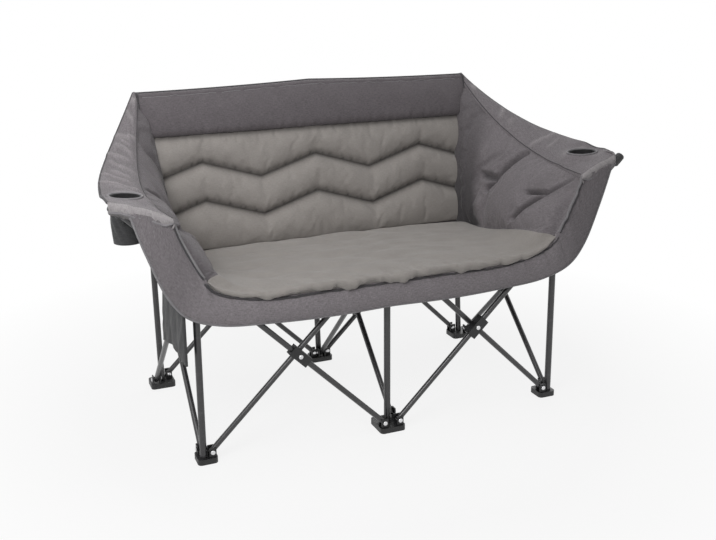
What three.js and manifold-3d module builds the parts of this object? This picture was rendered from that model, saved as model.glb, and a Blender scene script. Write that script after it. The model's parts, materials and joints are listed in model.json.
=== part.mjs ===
// Folding camping loveseat: a steel scissor frame on six feet, carrying a padded fabric bucket.
// Millimetres, +Z up, -Y is the front. The origin is under the middle of the loveseat, on the floor.
import * as THREE from 'three';
import { mergeVertices } from 'three/addons/utils/BufferGeometryUtils.js';
import Module from 'manifold-3d';

const wasm = await Module();
wasm.setup();

// Frame grid
const BAY = 550;
const DEPTH = 550;
const FRONT_Y = -291;
const REAR_Y = FRONT_Y + DEPTH;
const FOOT_PIVOT_Z = 30;
const HUB_PIVOT_Z = 520;
const REAR_LEAN = THREE.MathUtils.degToRad(4.2);

// Tubes
const POST_R = 9.5;
const POST_WALL = 1.5;
const POST_SIDES = 12;
const BRACE_R = 8;
const BRACE_WALL = 1.2;
const BRACE_SIDES = 8;
const BRACE_END = 7;
const ROD_PLAY = 1;
const ROD_R = POST_R - POST_WALL - ROD_PLAY;
const ROD_OVERLAP = 235;
const ROD_SHOWN = 19;
const ARM_REACH = 1008;

// Pins, lugs and fits
const FIT = 0.35;
const SIDE_FIT = 0.6;
const PIN_R = 3.5;
const PIN_PLAY = 0.9;
const OPEN_PLAY = 1.7;
const PIN_HOLE_R = PIN_R + PIN_PLAY;
const OPEN_HOLE_R = PIN_R + OPEN_PLAY;
const LUG_REACH = 9;
const LUG = BRACE_R + BRACE_END + LUG_REACH;
const PIN_SIDES = 6;
const HEAD_R = 6;
const HEAD_T = 1.6;
const CHEEK = 4;
const CHEEK_HALF = 10;
const CHEEK_ABOVE = 12;
const FOOT_BASE = 16;
const FOOT_MARGIN = 4;
const FOOT_ROUND = 11;
const SOCKET_FLOOR = 6;

// Crossing blocks
const BLOCK_WALL = 4;
const FRONT_BLOCK = 64;
const SMALL_BLOCK = 44;
const BLOCK_HALF = 15;
const BOSS_R = 9;

// Brace planes, measured from the post centres: crossing braces clear each other's blocks
const PAIR_PLAY = 1.05;
const PAIR_GAP = 2 * BRACE_R + FIT + BLOCK_WALL + SIDE_FIT + PAIR_PLAY;
const FRONT_PLAY = 4;
const FRONT_LONG_OFFSET = -PAIR_GAP - FRONT_PLAY;
const REAR_FIRST_OFFSET = -PAIR_GAP / 2;
const REAR_SECOND_OFFSET = PAIR_GAP / 2;
const SIDE_SECOND_OFFSET = PAIR_GAP;

// Hubs
const HUB_HALF_H = 15;
const HUB_MARGIN = 12;
const HUB_WALL = 4;
const SLOT_PLAY = 1.5;
const CORNER_POST_TOP = HUB_PIVOT_Z - HUB_HALF_H - ROD_SHOWN;

// Arm-tip caps
const CAP_R = 13;
const CAP_LENGTH = 38;
const CAP_GRIP = 22;

// Fabric thicknesses and seams
const CLOTH = 4;
const SEAM = 0.5;
const LAY = 0.4;

// Seat
const SEAT_CLEARANCE = 24;
const SEAT_HALF = BAY - LUG - HUB_MARGIN - SEAT_CLEARANCE;
const SEAT_OVERHANG = 33;
const SEAT_BACK_SPACE = 73;
const SEAT_FRONT = FRONT_Y - SEAT_OVERHANG;
const SEAT_REAR = REAR_Y - SEAT_BACK_SPACE;
const SEAT_FRONT_Z = 465;
const SEAT_REAR_Z = 448;
const SEAT_CORNER_CLEARANCE = 50;
const SEAT_RISE_LENGTH = 190;
const SEAT_SAG = 15;
const PAD_EDGE = 14;
const SEAT_CROWN = 13;
const SEAT_FOLD = 4;
const SEAT_FOLD_HALF = 34;
const SEAT_FOLD_SWING = 12;
const SEAT_GRID = [22, 11];
const BRACE_HEADROOM = 8;
const MIDDLE_HEADROOM = 23;
const SEAT_DEPTH = PAD_EDGE + SEAT_SAG + CLOTH;
const UNDER_SEAT_Z = SEAT_FRONT_Z - SEAT_DEPTH - BRACE_HEADROOM;
const UNDER_REAR_SEAT_Z = SEAT_REAR_Z - SEAT_DEPTH - MIDDLE_HEADROOM;

// Back
const BACK_LIFT = 4;
const BACK_LOW_Z = SEAT_REAR_Z + BACK_LIFT;
const BACK_TOP_Z = 944;
const HEADREST_HEIGHT = 136;
const BACK_SPLIT_Z = BACK_TOP_Z - HEADREST_HEIGHT;
const POST_HEADROOM = 10;
const REAR_POST_TOP = BACK_TOP_Z - POST_HEADROOM;
const BACK_PEAK = 12;
const BACK_SEAT_LAP = 4;
const BACK_LOW_Y = SEAT_REAR + BACK_SEAT_LAP;
const BACK_SLOPE = 0.2;
const BACK_LOW_SPREAD = 6;
const BACK_OVERHANG = 16;
const BACK_LOW_HALF = SEAT_HALF + BACK_LOW_SPREAD;
const BACK_TOP_HALF = BAY + BACK_OVERHANG;
const BACK_PAD = 18;
const BACK_CROWN = 12;
const BACK_INSET = 2;
const BACK_CHANNEL = 13;
const ZIGZAG_PITCH = 380;
const ZIGZAG_SWING = 29;
const ZIGZAG_LINES = [573, 692];
const CHANNEL_HALF = 15;
const HOOD_FLAP = 62;
const HOOD_PLAY = 2;
const HOOD_SHOULDER = 14;
const HOOD_ROUND = 8;
const HOOD_T = 5;
const HOOD_CORNER = 6;

// Arms
const ARM_PAD_EDGE = 7;
const ARM_PAD_THICK = 14;
const ARM_CROWN = 12;
const ARM_TUFT = 14;
const ARM_TOP_T = 8;
const ARM_WRINKLE = 3;
const ARM_COLUMNS = 18;
const ARM_SET_BACK = 2;
const ARM_FRONT_Y = FRONT_Y + ARM_SET_BACK;
const ARM_BACK_GAP = 6;
const ARM_ROOT_Y = SEAT_REAR - ARM_BACK_GAP;
const ARM_TIP_OVERHANG = 19;
const ARM_TIP_COVER = 14;
const ARM_TOP_WIDTH = 158;
const ARM_TOP_SLANT = 51;
const ARM_SEAM_BULGE = 40;
const ARM_SEAM_FALL = 2.3;
const ARM_EDGE_FALL = 2.75;
const ARM_EDGE_LAP = 13;
const ARM_EDGE_DROP = 12;
const ARM_SEAM_DROP = 42;
const ARM_EDGE_OUT = 22;
const ARM_SEAM_OUT = 6;
const ARM_PAD_CURL = 1.7;
const ARM_TURN = 50;

// Front apron and bands
const APRON_Y = FRONT_Y + FRONT_LONG_OFFSET - BRACE_R - SIDE_FIT - HEAD_T - LAY;
const ARM_MEET_Y = APRON_Y + LAY;
const APRON_T = 8;
const APRON_BULGE = 7;
const APRON_TUCK = 1;
const APRON_DROP = 80;
const BAND_CORNER_OUT = 72;
const BAND_CORNER_DROP = 10;
const BAND_END_INSET = 39;
const BAND_END_DROP = 6;
const BAND_CURL = 1.7;

// Cup holders
const CUP_SHARE = 0.55;
const CUP_SET_BACK = 84;
const CUP_Y = FRONT_Y + CUP_SET_BACK;
const CUP_HOLE_R = 43;
const CUP_DEPTH = 98;
const CUP_WALL = 3;
const CUP_TAPER = 5;
const CUP_SIDES = 18;

// Side pocket, buckle and strap
const POCKET_GAP = 3.8;
const POCKET_X = -(BAY + SIDE_SECOND_OFFSET + BRACE_R + SIDE_FIT + HEAD_T + POCKET_GAP);
const POCKET_LENGTH = 262;
const POCKET_RISE = 36;
const POCKET_TOP = HUB_PIVOT_Z + POCKET_RISE;
const POCKET_HEIGHT = 256;
const POCKET_BOTTOM = POCKET_TOP - POCKET_HEIGHT;
const POCKET_T = 7;
const POCKET_FOLD = 6;
const POCKET_SLOPE = 70;
const POCKET_TILT = 20;
const POCKET_LIFT = 16;
const BUCKLE_W = 34;
const BUCKLE_H = 26;
const BUCKLE_T = 7;
const BUCKLE_DROP = 22;
const STRAP_HALF = 150;
const STRAP_WIDTH = 26;
const STRAP_T = 3;
const STRAP_DROP = 0.5;

// The pivot triangle that every scissor pair shares
const SPAN = BAY - 2 * LUG;
const RISE = HUB_PIVOT_Z - FOOT_PIVOT_Z;
const PAIR_LENGTH = Math.hypot(SPAN, RISE);
const SIDE_SPAN = DEPTH - 2 * LUG;
const SIDE_LENGTH = Math.hypot(SIDE_SPAN, RISE);
const FOLD_RISE = PAIR_LENGTH - RISE;

// The seat's front corners are drawn up over the long front braces
const BRACE_Z_AT_SEAT = FOOT_PIVOT_Z + ((SEAT_HALF - LUG) * RISE) / SPAN;
const SEAT_CORNER_RISE = BRACE_Z_AT_SEAT + SEAT_CORNER_CLEARANCE - SEAT_FRONT_Z;

// The end of the long front brace, which holds up the arm
const ARM_TIP_X = LUG + (ARM_REACH * SPAN) / PAIR_LENGTH;
const ARM_TIP_Z = FOOT_PIVOT_Z + (ARM_REACH * RISE) / PAIR_LENGTH;

const steel = (name) => material(name, 0x4a4a4c, 0.45, 0.6);
const plastic = (name) => material(name, 0x141415, 0.5, 0);
const shellCloth = (name) => material(name, 0x6b656b, 0.9, 0);
const padCloth = (name) => material(name, 0x8b8680, 0.92, 0);
const darkCloth = (name) => material(name, 0x4b4b4d, 0.9, 0);

function material(name, color, roughness, metalness) {
  return new THREE.MeshStandardMaterial({ name, color, roughness, metalness });
}

// Solid helpers: geometry to solid and back

function solid(geometry) {
  const bare = geometry.index ? geometry.toNonIndexed() : geometry.clone();
  bare.deleteAttribute('normal');
  bare.deleteAttribute('uv');
  const merged = mergeVertices(bare, 1e-3);
  const mesh = new wasm.Mesh({
    numProp: 3,
    vertProperties: new Float32Array(merged.attributes.position.array),
    triVerts: new Uint32Array(merged.index.array),
  });
  return new wasm.Manifold(mesh);
}

function geometryOf(body) {
  const mesh = body.getMesh();
  const geometry = new THREE.BufferGeometry();
  geometry.setAttribute('position', new THREE.BufferAttribute(new Float32Array(mesh.vertProperties), 3));
  geometry.setIndex(new THREE.BufferAttribute(new Uint32Array(mesh.triVerts), 1));
  geometry.computeVertexNormals();
  return geometry;
}

function union(parts) {
  return parts.reduce((whole, part) => whole.add(part));
}

function block(x0, x1, y0, y1, z0, z1) {
  const box = new THREE.BoxGeometry(x1 - x0, y1 - y0, z1 - z0);
  return solid(box.translate((x0 + x1) / 2, (y0 + y1) / 2, (z0 + z1) / 2));
}

// A round bar from one point to another along a main axis
function bar(radius, sides, from, to) {
  const start = new THREE.Vector3(...from);
  const along = new THREE.Vector3(...to).sub(start);
  const rod = new THREE.CylinderGeometry(radius, radius, along.length(), sides);
  const turn = new THREE.Quaternion().setFromUnitVectors(new THREE.Vector3(0, 1, 0), along.clone().normalize());
  rod.applyQuaternion(turn);
  rod.translate(start.x + along.x / 2, start.y + along.y / 2, start.z + along.z / 2);
  return solid(rod);
}

function ring(radius, sides) {
  const points = [];
  for (let i = 0; i < sides; i += 1) {
    const turn = (2 * Math.PI * i) / sides;
    points.push(new THREE.Vector2(radius * Math.cos(turn), radius * Math.sin(turn)));
  }
  return points;
}

// A hollow tube that stands on z = low and reaches z = high
function tube(radius, wall, sides, low, high) {
  const shape = new THREE.Shape(ring(radius, sides));
  shape.holes.push(new THREE.Path(ring(radius - wall, sides)));
  const geometry = new THREE.ExtrudeGeometry(shape, { depth: high - low, bevelEnabled: false });
  return solid(geometry.translate(0, 0, low));
}

function roundedBase(x0, x1, y0, y1, height) {
  const r = FOOT_ROUND;
  const shape = new THREE.Shape();
  shape.absarc(x1 - r, y1 - r, r, 0, Math.PI / 2);
  shape.absarc(x0 + r, y1 - r, r, Math.PI / 2, Math.PI);
  shape.absarc(x0 + r, y0 + r, r, Math.PI, 1.5 * Math.PI);
  shape.absarc(x1 - r, y0 + r, r, 1.5 * Math.PI, 2 * Math.PI);
  return solid(new THREE.ExtrudeGeometry(shape, { depth: height, bevelEnabled: false, curveSegments: 3 }));
}

// A closed sheet between two surfaces over the unit square
function closedSheet(columns, rows, front, back) {
  const positions = [];
  const index = [];
  const width = columns + 1;
  const layer = width * (rows + 1);
  for (const face of [front, back]) {
    for (let j = 0; j <= rows; j += 1) {
      for (let i = 0; i <= columns; i += 1) {
        positions.push(...face(i / columns, j / rows));
      }
    }
  }
  const quad = (a, b, c, d) => index.push(a, b, c, a, c, d);
  for (let j = 0; j < rows; j += 1) {
    for (let i = 0; i < columns; i += 1) {
      const a = j * width + i;
      quad(a, a + 1, a + width + 1, a + width);
      quad(layer + a, layer + a + width, layer + a + width + 1, layer + a + 1);
    }
  }
  for (let i = 0; i < columns; i += 1) {
    const top = rows * width + i;
    quad(i, layer + i, layer + i + 1, i + 1);
    quad(top, top + 1, layer + top + 1, layer + top);
  }
  for (let j = 0; j < rows; j += 1) {
    const left = j * width;
    const right = left + columns;
    quad(left, left + width, layer + left + width, layer + left);
    quad(right, layer + right, layer + right + width, right + width);
  }
  const geometry = new THREE.BufferGeometry();
  geometry.setAttribute('position', new THREE.BufferAttribute(new Float32Array(positions), 3));
  geometry.setIndex(signedVolume(positions, index) < 0 ? flipped(index) : index);
  geometry.computeVertexNormals();
  return geometry;
}

function signedVolume(positions, index) {
  const corner = (k) => new THREE.Vector3(...positions.slice(3 * index[k], 3 * index[k] + 3));
  let volume = 0;
  for (let k = 0; k < index.length; k += 3) {
    volume += corner(k).dot(corner(k + 1).cross(corner(k + 2)));
  }
  return volume;
}

function flipped(index) {
  const turned = [];
  for (let k = 0; k < index.length; k += 3) {
    turned.push(index[k], index[k + 2], index[k + 1]);
  }
  return turned;
}

const loveseat = new THREE.Group();
loveseat.name = 'folding_loveseat';

function place(name, geometry, look, matrix = new THREE.Matrix4()) {
  const mesh = new THREE.Mesh(geometry, look(name));
  mesh.name = name;
  mesh.applyMatrix4(matrix);
  loveseat.add(mesh);
}

// Posts

function leanMatrix(x) {
  const matrix = new THREE.Matrix4().makeRotationX(-REAR_LEAN);
  return matrix.setPosition(x, REAR_Y, SOCKET_FLOOR + FIT + POST_R * Math.sin(REAR_LEAN));
}

function rearPostY(z) {
  return REAR_Y + (z - SOCKET_FLOOR) * Math.tan(REAR_LEAN);
}

function frontPost(name, x, top) {
  const pipe = tube(POST_R, POST_WALL, POST_SIDES, SOCKET_FLOOR + FIT, top);
  place(name, geometryOf(pipe), steel, new THREE.Matrix4().makeTranslation(x, FRONT_Y, 0));
}

function rearPost(name, x) {
  const length = (REAR_POST_TOP - SOCKET_FLOOR) / Math.cos(REAR_LEAN);
  place(name, geometryOf(tube(POST_R, POST_WALL, POST_SIDES, 0, length)), steel, leanMatrix(x));
}

// Feet: a moulded base with a post socket, and two cheeks and a rivet for each brace

function lugSolids(lug) {
  const reach = BRACE_R + SIDE_FIT;
  const top = FOOT_PIVOT_Z + CHEEK_ABOVE;
  const parts = [];
  for (const side of [-1, 1]) {
    const near = Math.min(side * reach, side * (reach + CHEEK));
    if (lug.pin === 'y') {
      parts.push(block(lug.x - CHEEK_HALF, lug.x + CHEEK_HALF,
        lug.y + near, lug.y + near + CHEEK, FOOT_BASE - 1, top));
    } else {
      parts.push(block(lug.x + near, lug.x + near + CHEEK,
        lug.y - CHEEK_HALF, lug.y + CHEEK_HALF, FOOT_BASE - 1, top));
    }
  }
  const outer = reach + CHEEK;
  parts.push(pinBar(lug, PIN_R, -outer, outer));
  parts.push(pinBar(lug, HEAD_R, -outer - HEAD_T, -outer + 1));
  parts.push(pinBar(lug, HEAD_R, outer - 1, outer + HEAD_T));
  return parts;
}

function pinBar(lug, radius, from, to) {
  const point = (s) => (lug.pin === 'y'
    ? [lug.x, lug.y + s, lug.z ?? FOOT_PIVOT_Z]
    : [lug.x + s, lug.y, lug.z ?? FOOT_PIVOT_Z]);
  return bar(radius, PIN_SIDES, point(from), point(to));
}

function foot(name, x, y, lugs, leaning) {
  const across = BRACE_R + SIDE_FIT + CHEEK + HEAD_T;
  const spread = (lug, axis) => (lug.pin === axis ? across : CHEEK_HALF);
  const post = POST_R + FOOT_MARGIN;
  const low = (axis) => Math.min(-post, ...lugs.map((lug) => lug[axis] - spread(lug, axis))) - FOOT_MARGIN;
  const high = (axis) => Math.max(post, ...lugs.map((lug) => lug[axis] + spread(lug, axis))) + FOOT_MARGIN;
  const base = roundedBase(low('x'), high('x'), low('y'), high('y'), FOOT_BASE);
  const socket = new THREE.CylinderGeometry(POST_R + FIT, POST_R + FIT, 4 * FOOT_BASE, POST_SIDES);
  socket.rotateX(Math.PI / 2);
  socket.translate(0, 0, 2 * FOOT_BASE);
  if (leaning) {
    socket.rotateX(-REAR_LEAN);
  }
  socket.translate(0, 0, SOCKET_FLOOR);
  const floor = block(low('x'), high('x'), low('y'), high('y'), -FOOT_BASE, SOCKET_FLOOR);
  const body = union([base, ...lugs.flatMap(lugSolids)]).subtract(solid(socket).subtract(floor));
  place(name, geometryOf(body), plastic, new THREE.Matrix4().makeTranslation(x, y, 0));
}

// Braces: tubes drilled across for their pivots, in a frame whose Z runs along the tube

function braceMatrix(pivot, direction, pin) {
  const across = new THREE.Vector3().crossVectors(pin, direction);
  return new THREE.Matrix4().makeBasis(across, pin, direction).setPosition(...pivot);
}

function brace(name, matrix, length, holes) {
  let pipe = tube(BRACE_R, BRACE_WALL, BRACE_SIDES, -BRACE_END, length);
  for (const hole of holes) {
    const radius = hole.open ? OPEN_HOLE_R : PIN_HOLE_R;
    const reach = BRACE_R + 1;
    pipe = pipe.subtract(bar(radius, PIN_SIDES, [0, -reach, hole.at], [0, reach, hole.at]));
  }
  place(name, geometryOf(pipe), steel, matrix);
}

// A moulded block sleeved on one brace, with the rivet that the crossing brace turns on
function crossingBlock(name, matrix, at, gap, length) {
  const half = BRACE_R + FIT + BLOCK_WALL;
  const side = Math.sign(gap);
  const other = Math.abs(gap);
  const sleeve = block(-BLOCK_HALF, BLOCK_HALF, -half, half, at - length / 2, at + length / 2);
  const bore = tubeCutter(BRACE_R + FIT + 0.1, at - length, at + length);
  const boss = bar(BOSS_R, 12, [0, side * (half - 1), at], [0, side * (other - BRACE_R - SIDE_FIT), at]);
  const pin = bar(PIN_R, PIN_SIDES, [0, side * (half - 1), at], [0, side * (other + BRACE_R + SIDE_FIT), at]);
  const headFrom = other + BRACE_R + SIDE_FIT;
  const head = bar(HEAD_R, PIN_SIDES, [0, side * headFrom, at], [0, side * (headFrom + HEAD_T), at]);
  const nose = bar(HEAD_R, PIN_SIDES, [0, -side * (half - 1), at], [0, -side * (half + HEAD_T), at]);
  const body = union([sleeve.subtract(bore), boss, pin, head, nose]);
  place(name, geometryOf(body.subtract(bore)), plastic, matrix);
}

function tubeCutter(radius, low, high) {
  const shape = new THREE.Shape(ring(radius, BRACE_SIDES));
  const geometry = new THREE.ExtrudeGeometry(shape, { depth: high - low, bevelEnabled: false });
  return solid(geometry.translate(0, 0, low));
}

const PIN_Y = new THREE.Vector3(0, 1, 0);
const PIN_X = new THREE.Vector3(1, 0, 0);

function leaningX(side) {
  return new THREE.Vector3((side * SPAN) / PAIR_LENGTH, 0, RISE / PAIR_LENGTH);
}

function leaningY(side) {
  return new THREE.Vector3(0, (side * SIDE_SPAN) / SIDE_LENGTH, RISE / SIDE_LENGTH);
}

function lengthToHeight(z, pairLength) {
  return ((z - FOOT_PIVOT_Z) * pairLength) / RISE;
}

// Front scissors: a short brace from the corner foot, a long one from the middle foot to the arm tip
function frontPair(tag, side) {
  const half = PAIR_LENGTH / 2;
  const longPivot = [side * LUG, FRONT_Y + FRONT_LONG_OFFSET, FOOT_PIVOT_Z];
  const longMatrix = braceMatrix(longPivot, leaningX(side), PIN_Y);
  brace(`front_long_brace_${tag}`, longMatrix, ARM_REACH, [{ at: 0 }, { at: PAIR_LENGTH }]);
  crossingBlock(`front_crossing_block_${tag}`, longMatrix, half, -FRONT_LONG_OFFSET, FRONT_BLOCK);
  armCap(`arm_tip_cap_${tag}`, longMatrix);
  const shortPivot = [side * (BAY - LUG), FRONT_Y, FOOT_PIVOT_Z];
  const shortLength = lengthToHeight(UNDER_SEAT_Z, PAIR_LENGTH);
  brace(`front_short_brace_${tag}`, braceMatrix(shortPivot, leaningX(-side), PIN_Y), shortLength,
    [{ at: 0 }, { at: half }]);
}

function armCap(name, matrix) {
  const start = ARM_REACH - CAP_GRIP;
  const grip = BRACE_R + FIT;
  const dome = CAP_R / 2;
  const profile = [
    [grip, start], [CAP_R - 2, start], [CAP_R, start + 4], [CAP_R, start + CAP_LENGTH - dome],
    [CAP_R * 0.8, start + CAP_LENGTH - dome * 0.35], [CAP_R * 0.4, start + CAP_LENGTH],
    [0, start + CAP_LENGTH], [0, ARM_REACH + FIT], [grip, ARM_REACH + FIT], [grip, start],
  ].map(([r, z]) => new THREE.Vector2(r, z));
  const geometry = new THREE.LatheGeometry(profile, 12);
  geometry.rotateX(Math.PI / 2);
  place(name, geometryOf(solid(geometry)), plastic, matrix);
}

// Rear scissors: the first brace rises from the middle foot, the second from the corner foot
function rearPair(tag, side) {
  const half = PAIR_LENGTH / 2;
  const firstPivot = [side * LUG, REAR_Y + REAR_FIRST_OFFSET, FOOT_PIVOT_Z];
  const firstMatrix = braceMatrix(firstPivot, leaningX(side), PIN_Y);
  brace(`rear_brace_outward_${tag}`, firstMatrix, PAIR_LENGTH + BRACE_END, [{ at: 0 }, { at: PAIR_LENGTH }]);
  crossingBlock(`rear_crossing_block_${tag}`, firstMatrix, half, REAR_SECOND_OFFSET - REAR_FIRST_OFFSET, SMALL_BLOCK);
  const secondPivot = [side * (BAY - LUG), REAR_Y + REAR_SECOND_OFFSET, FOOT_PIVOT_Z];
  const holes = [{ at: 0 }, { at: half }, { at: PAIR_LENGTH, open: side > 0 }];
  brace(`rear_brace_inward_${tag}`, braceMatrix(secondPivot, leaningX(-side), PIN_Y), PAIR_LENGTH + BRACE_END, holes);
}

// Side scissors run front to back at each end
function sidePair(tag, side) {
  const half = SIDE_LENGTH / 2;
  const plane = side * BAY;
  const matrix = braceMatrix([plane, FRONT_Y + LUG, FOOT_PIVOT_Z], leaningY(1), PIN_X);
  brace(`side_brace_rearward_${tag}`, matrix, SIDE_LENGTH + BRACE_END, [{ at: 0 }, { at: SIDE_LENGTH, open: true }]);
  crossingBlock(`side_crossing_block_${tag}`, matrix, half, side * SIDE_SECOND_OFFSET, SMALL_BLOCK);
  const pivot = [plane + side * SIDE_SECOND_OFFSET, REAR_Y - LUG, FOOT_PIVOT_Z];
  const holes = [{ at: 0, open: true }, { at: half }, { at: SIDE_LENGTH, open: true }];
  brace(`side_brace_forward_${tag}`, braceMatrix(pivot, leaningY(-1), PIN_X), SIDE_LENGTH + BRACE_END, holes);
}

// The middle scissor ends under the seat at both tops
function middlePair() {
  const half = SIDE_LENGTH / 2;
  const matrix = braceMatrix([SIDE_SECOND_OFFSET, FRONT_Y + LUG, FOOT_PIVOT_Z], leaningY(1), PIN_X);
  const rearward = lengthToHeight(UNDER_REAR_SEAT_Z, SIDE_LENGTH);
  brace('middle_brace_rearward', matrix, rearward, [{ at: 0 }]);
  crossingBlock('middle_crossing_block', matrix, half, -SIDE_SECOND_OFFSET, SMALL_BLOCK);
  const forward = lengthToHeight(Math.min(UNDER_SEAT_Z, UNDER_REAR_SEAT_Z), SIDE_LENGTH);
  const pivot = [0, REAR_Y - LUG, FOOT_PIVOT_Z];
  brace('middle_brace_forward', braceMatrix(pivot, leaningY(-1), PIN_X), forward, [{ at: 0 }, { at: half }]);
}

// Front corner hubs slide on a rod inside the post as the frame folds
function frontHub(tag, side) {
  const low = HUB_PIVOT_Z - HUB_HALF_H;
  const high = HUB_PIVOT_Z + HUB_HALF_H;
  const face = FRONT_LONG_OFFSET + BRACE_R + SIDE_FIT;
  const inner = -LUG - HUB_MARGIN;
  const outer = SIDE_SECOND_OFFSET - BRACE_R - 1.5;
  const span = side > 0 ? [inner, outer] : [-outer, -inner];
  const rear = LUG + CHEEK_HALF;
  const pinEnd = face - 2 * (BRACE_R + SIDE_FIT);
  const armPin = { pin: 'y', x: -side * LUG, y: 0, z: HUB_PIVOT_Z };
  const sidePin = { pin: 'x', x: 0, y: LUG, z: HUB_PIVOT_Z };
  const sideEnd = SIDE_SECOND_OFFSET + BRACE_R + SIDE_FIT;
  const sideBar = (radius, from, to) => pinBar(sidePin, radius, ...(side > 0 ? [from, to] : [-to, -from]));
  const parts = [
    block(span[0], span[1], face, rear, low, high),
    pinBar(armPin, PIN_R, pinEnd, face + 1),
    pinBar(armPin, HEAD_R, pinEnd - HEAD_T, pinEnd),
    sideBar(PIN_R, outer - 1, sideEnd),
    sideBar(HEAD_R, sideEnd, sideEnd + HEAD_T),
  ];
  const socket = bar(ROD_R + FIT, POST_SIDES, [0, 0, low - 1], [0, 0, HUB_PIVOT_Z + 4]);
  const corner = new THREE.Matrix4().makeTranslation(side * BAY, FRONT_Y, 0);
  place(`front_hub_${tag}`, geometryOf(union(parts).subtract(socket)), plastic, corner);
  const rod = bar(ROD_R, POST_SIDES, [0, 0, CORNER_POST_TOP - ROD_OVERLAP], [0, 0, HUB_PIVOT_Z + 4 - FIT]);
  place(`front_slide_rod_${tag}`, geometryOf(rod), steel, corner);
}

// Rear hubs ride up the leaning posts in a slot long enough for the lean
function rearSlot() {
  const start = rearPostY(HUB_PIVOT_Z - HUB_HALF_H) - REAR_Y - POST_R - SLOT_PLAY;
  const end = rearPostY(HUB_PIVOT_Z + FOLD_RISE + HUB_HALF_H) - REAR_Y + POST_R + SLOT_PLAY;
  return [start, end];
}

function rearCornerHub(tag, side) {
  const low = HUB_PIVOT_Z - HUB_HALF_H;
  const high = HUB_PIVOT_Z + HUB_HALF_H;
  const [slotStart, slotEnd] = rearSlot();
  const slotHalf = POST_R + SLOT_PLAY;
  const face = REAR_FIRST_OFFSET + BRACE_R + SIDE_FIT;
  const armOuter = BRACE_R + SIDE_FIT + CHEEK + 2;
  const mirror = (from, to) => (side > 0 ? [from, to] : [-to, -from]);
  const backPin = { pin: 'y', x: -side * LUG, y: 0, z: HUB_PIVOT_Z };
  const sidePin = { pin: 'x', x: 0, y: -LUG, z: HUB_PIVOT_Z };
  const backEnd = face - 2 * (BRACE_R + SIDE_FIT);
  const sideBar = (radius, from, to) => pinBar(sidePin, radius, ...mirror(from, to));
  const parts = [
    block(...mirror(-LUG - HUB_MARGIN, armOuter), face, slotEnd + HUB_WALL, low, high),
    block(...mirror(BRACE_R + SIDE_FIT, armOuter), -LUG - CHEEK_HALF, face + 1, low, high),
    pinBar(backPin, PIN_R, backEnd, face + 1),
    pinBar(backPin, HEAD_R, backEnd - HEAD_T, backEnd),
    sideBar(PIN_R, -BRACE_R - SIDE_FIT, BRACE_R + SIDE_FIT + 1),
    sideBar(HEAD_R - 1, -BRACE_R - SIDE_FIT - HEAD_T, -BRACE_R - SIDE_FIT),
  ];
  const slot = block(-slotHalf, slotHalf, slotStart, slotEnd, low - 1, high + 1);
  const matrix = new THREE.Matrix4().makeTranslation(side * BAY, REAR_Y, 0);
  place(`rear_hub_${tag}`, geometryOf(union(parts).subtract(slot)), plastic, matrix);
}

function rearMiddleHub() {
  const low = HUB_PIVOT_Z - HUB_HALF_H;
  const high = HUB_PIVOT_Z + HUB_HALF_H;
  const [slotStart, slotEnd] = rearSlot();
  const slotHalf = POST_R + SLOT_PLAY;
  const face = REAR_SECOND_OFFSET + BRACE_R + SIDE_FIT;
  const pinEnd = face - 2 * (BRACE_R + SIDE_FIT);
  const half = LUG + HUB_MARGIN;
  const parts = [block(-half, half, face, slotEnd + HUB_WALL, low, high)];
  for (const side of [-1, 1]) {
    const pin = { pin: 'y', x: side * LUG, y: 0, z: HUB_PIVOT_Z };
    parts.push(pinBar(pin, PIN_R, pinEnd, face + 1));
    parts.push(pinBar(pin, HEAD_R, pinEnd - HEAD_T, pinEnd));
  }
  const slot = block(-slotHalf, slotHalf, slotStart, slotEnd, low - 1, high + 1);
  const matrix = new THREE.Matrix4().makeTranslation(0, REAR_Y, 0);
  place('rear_hub_middle', geometryOf(union(parts).subtract(slot)), plastic, matrix);
}

// Shaping functions

const lerp = THREE.MathUtils.lerp;
const smooth = (value) => THREE.MathUtils.smoothstep(value, 0, 1);

// Zero on the border of the unit square and one over its middle
function puff(u, v) {
  return Math.min(1, (Math.sin(Math.PI * u) * Math.sin(Math.PI * v)) ** 0.5 * 1.05);
}

function zigzag(x) {
  const phase = Math.abs(x / ZIGZAG_PITCH - Math.round(x / ZIGZAG_PITCH));
  return ZIGZAG_SWING * (1 - 4 * phase);
}

function channel(distance) {
  return Math.exp(-((distance / CHANNEL_HALF) ** 2));
}

// Seat: a sagging sling with a quilted pad on it, drawn up over the hubs at the front corners

function seatPoint(u, v) {
  return [lerp(-SEAT_HALF, SEAT_HALF, u), lerp(SEAT_FRONT, SEAT_REAR, v)];
}

function seatEdgeHeight(x, y) {
  const along = (y - SEAT_FRONT) / (SEAT_REAR - SEAT_FRONT);
  const rise = smooth(1 - (y - SEAT_FRONT) / SEAT_RISE_LENGTH);
  return lerp(SEAT_FRONT_Z, SEAT_REAR_Z, along) + SEAT_CORNER_RISE * (Math.abs(x) / SEAT_HALF) ** 6 * rise;
}

function slingTop(x, y) {
  const u = THREE.MathUtils.clamp((x + SEAT_HALF) / (2 * SEAT_HALF), 0, 1);
  const v = THREE.MathUtils.clamp((y - SEAT_FRONT) / (SEAT_REAR - SEAT_FRONT), 0, 1);
  return seatEdgeHeight(x, y) - PAD_EDGE - SEAT_SAG * puff(u, v);
}

// Two soft folds wander along the seat, one to each side of its middle
function seatFold(x, y) {
  const wander = SEAT_FOLD_SWING * Math.sin((Math.PI * x) / SEAT_HALF);
  const lines = [0.4, 0.72].map((share) => lerp(SEAT_FRONT, SEAT_REAR, share));
  const near = (line) => Math.exp(-(((y - line - wander) / SEAT_FOLD_HALF) ** 2));
  return SEAT_FOLD * lines.reduce((sum, line) => sum + near(line), 0);
}

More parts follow.
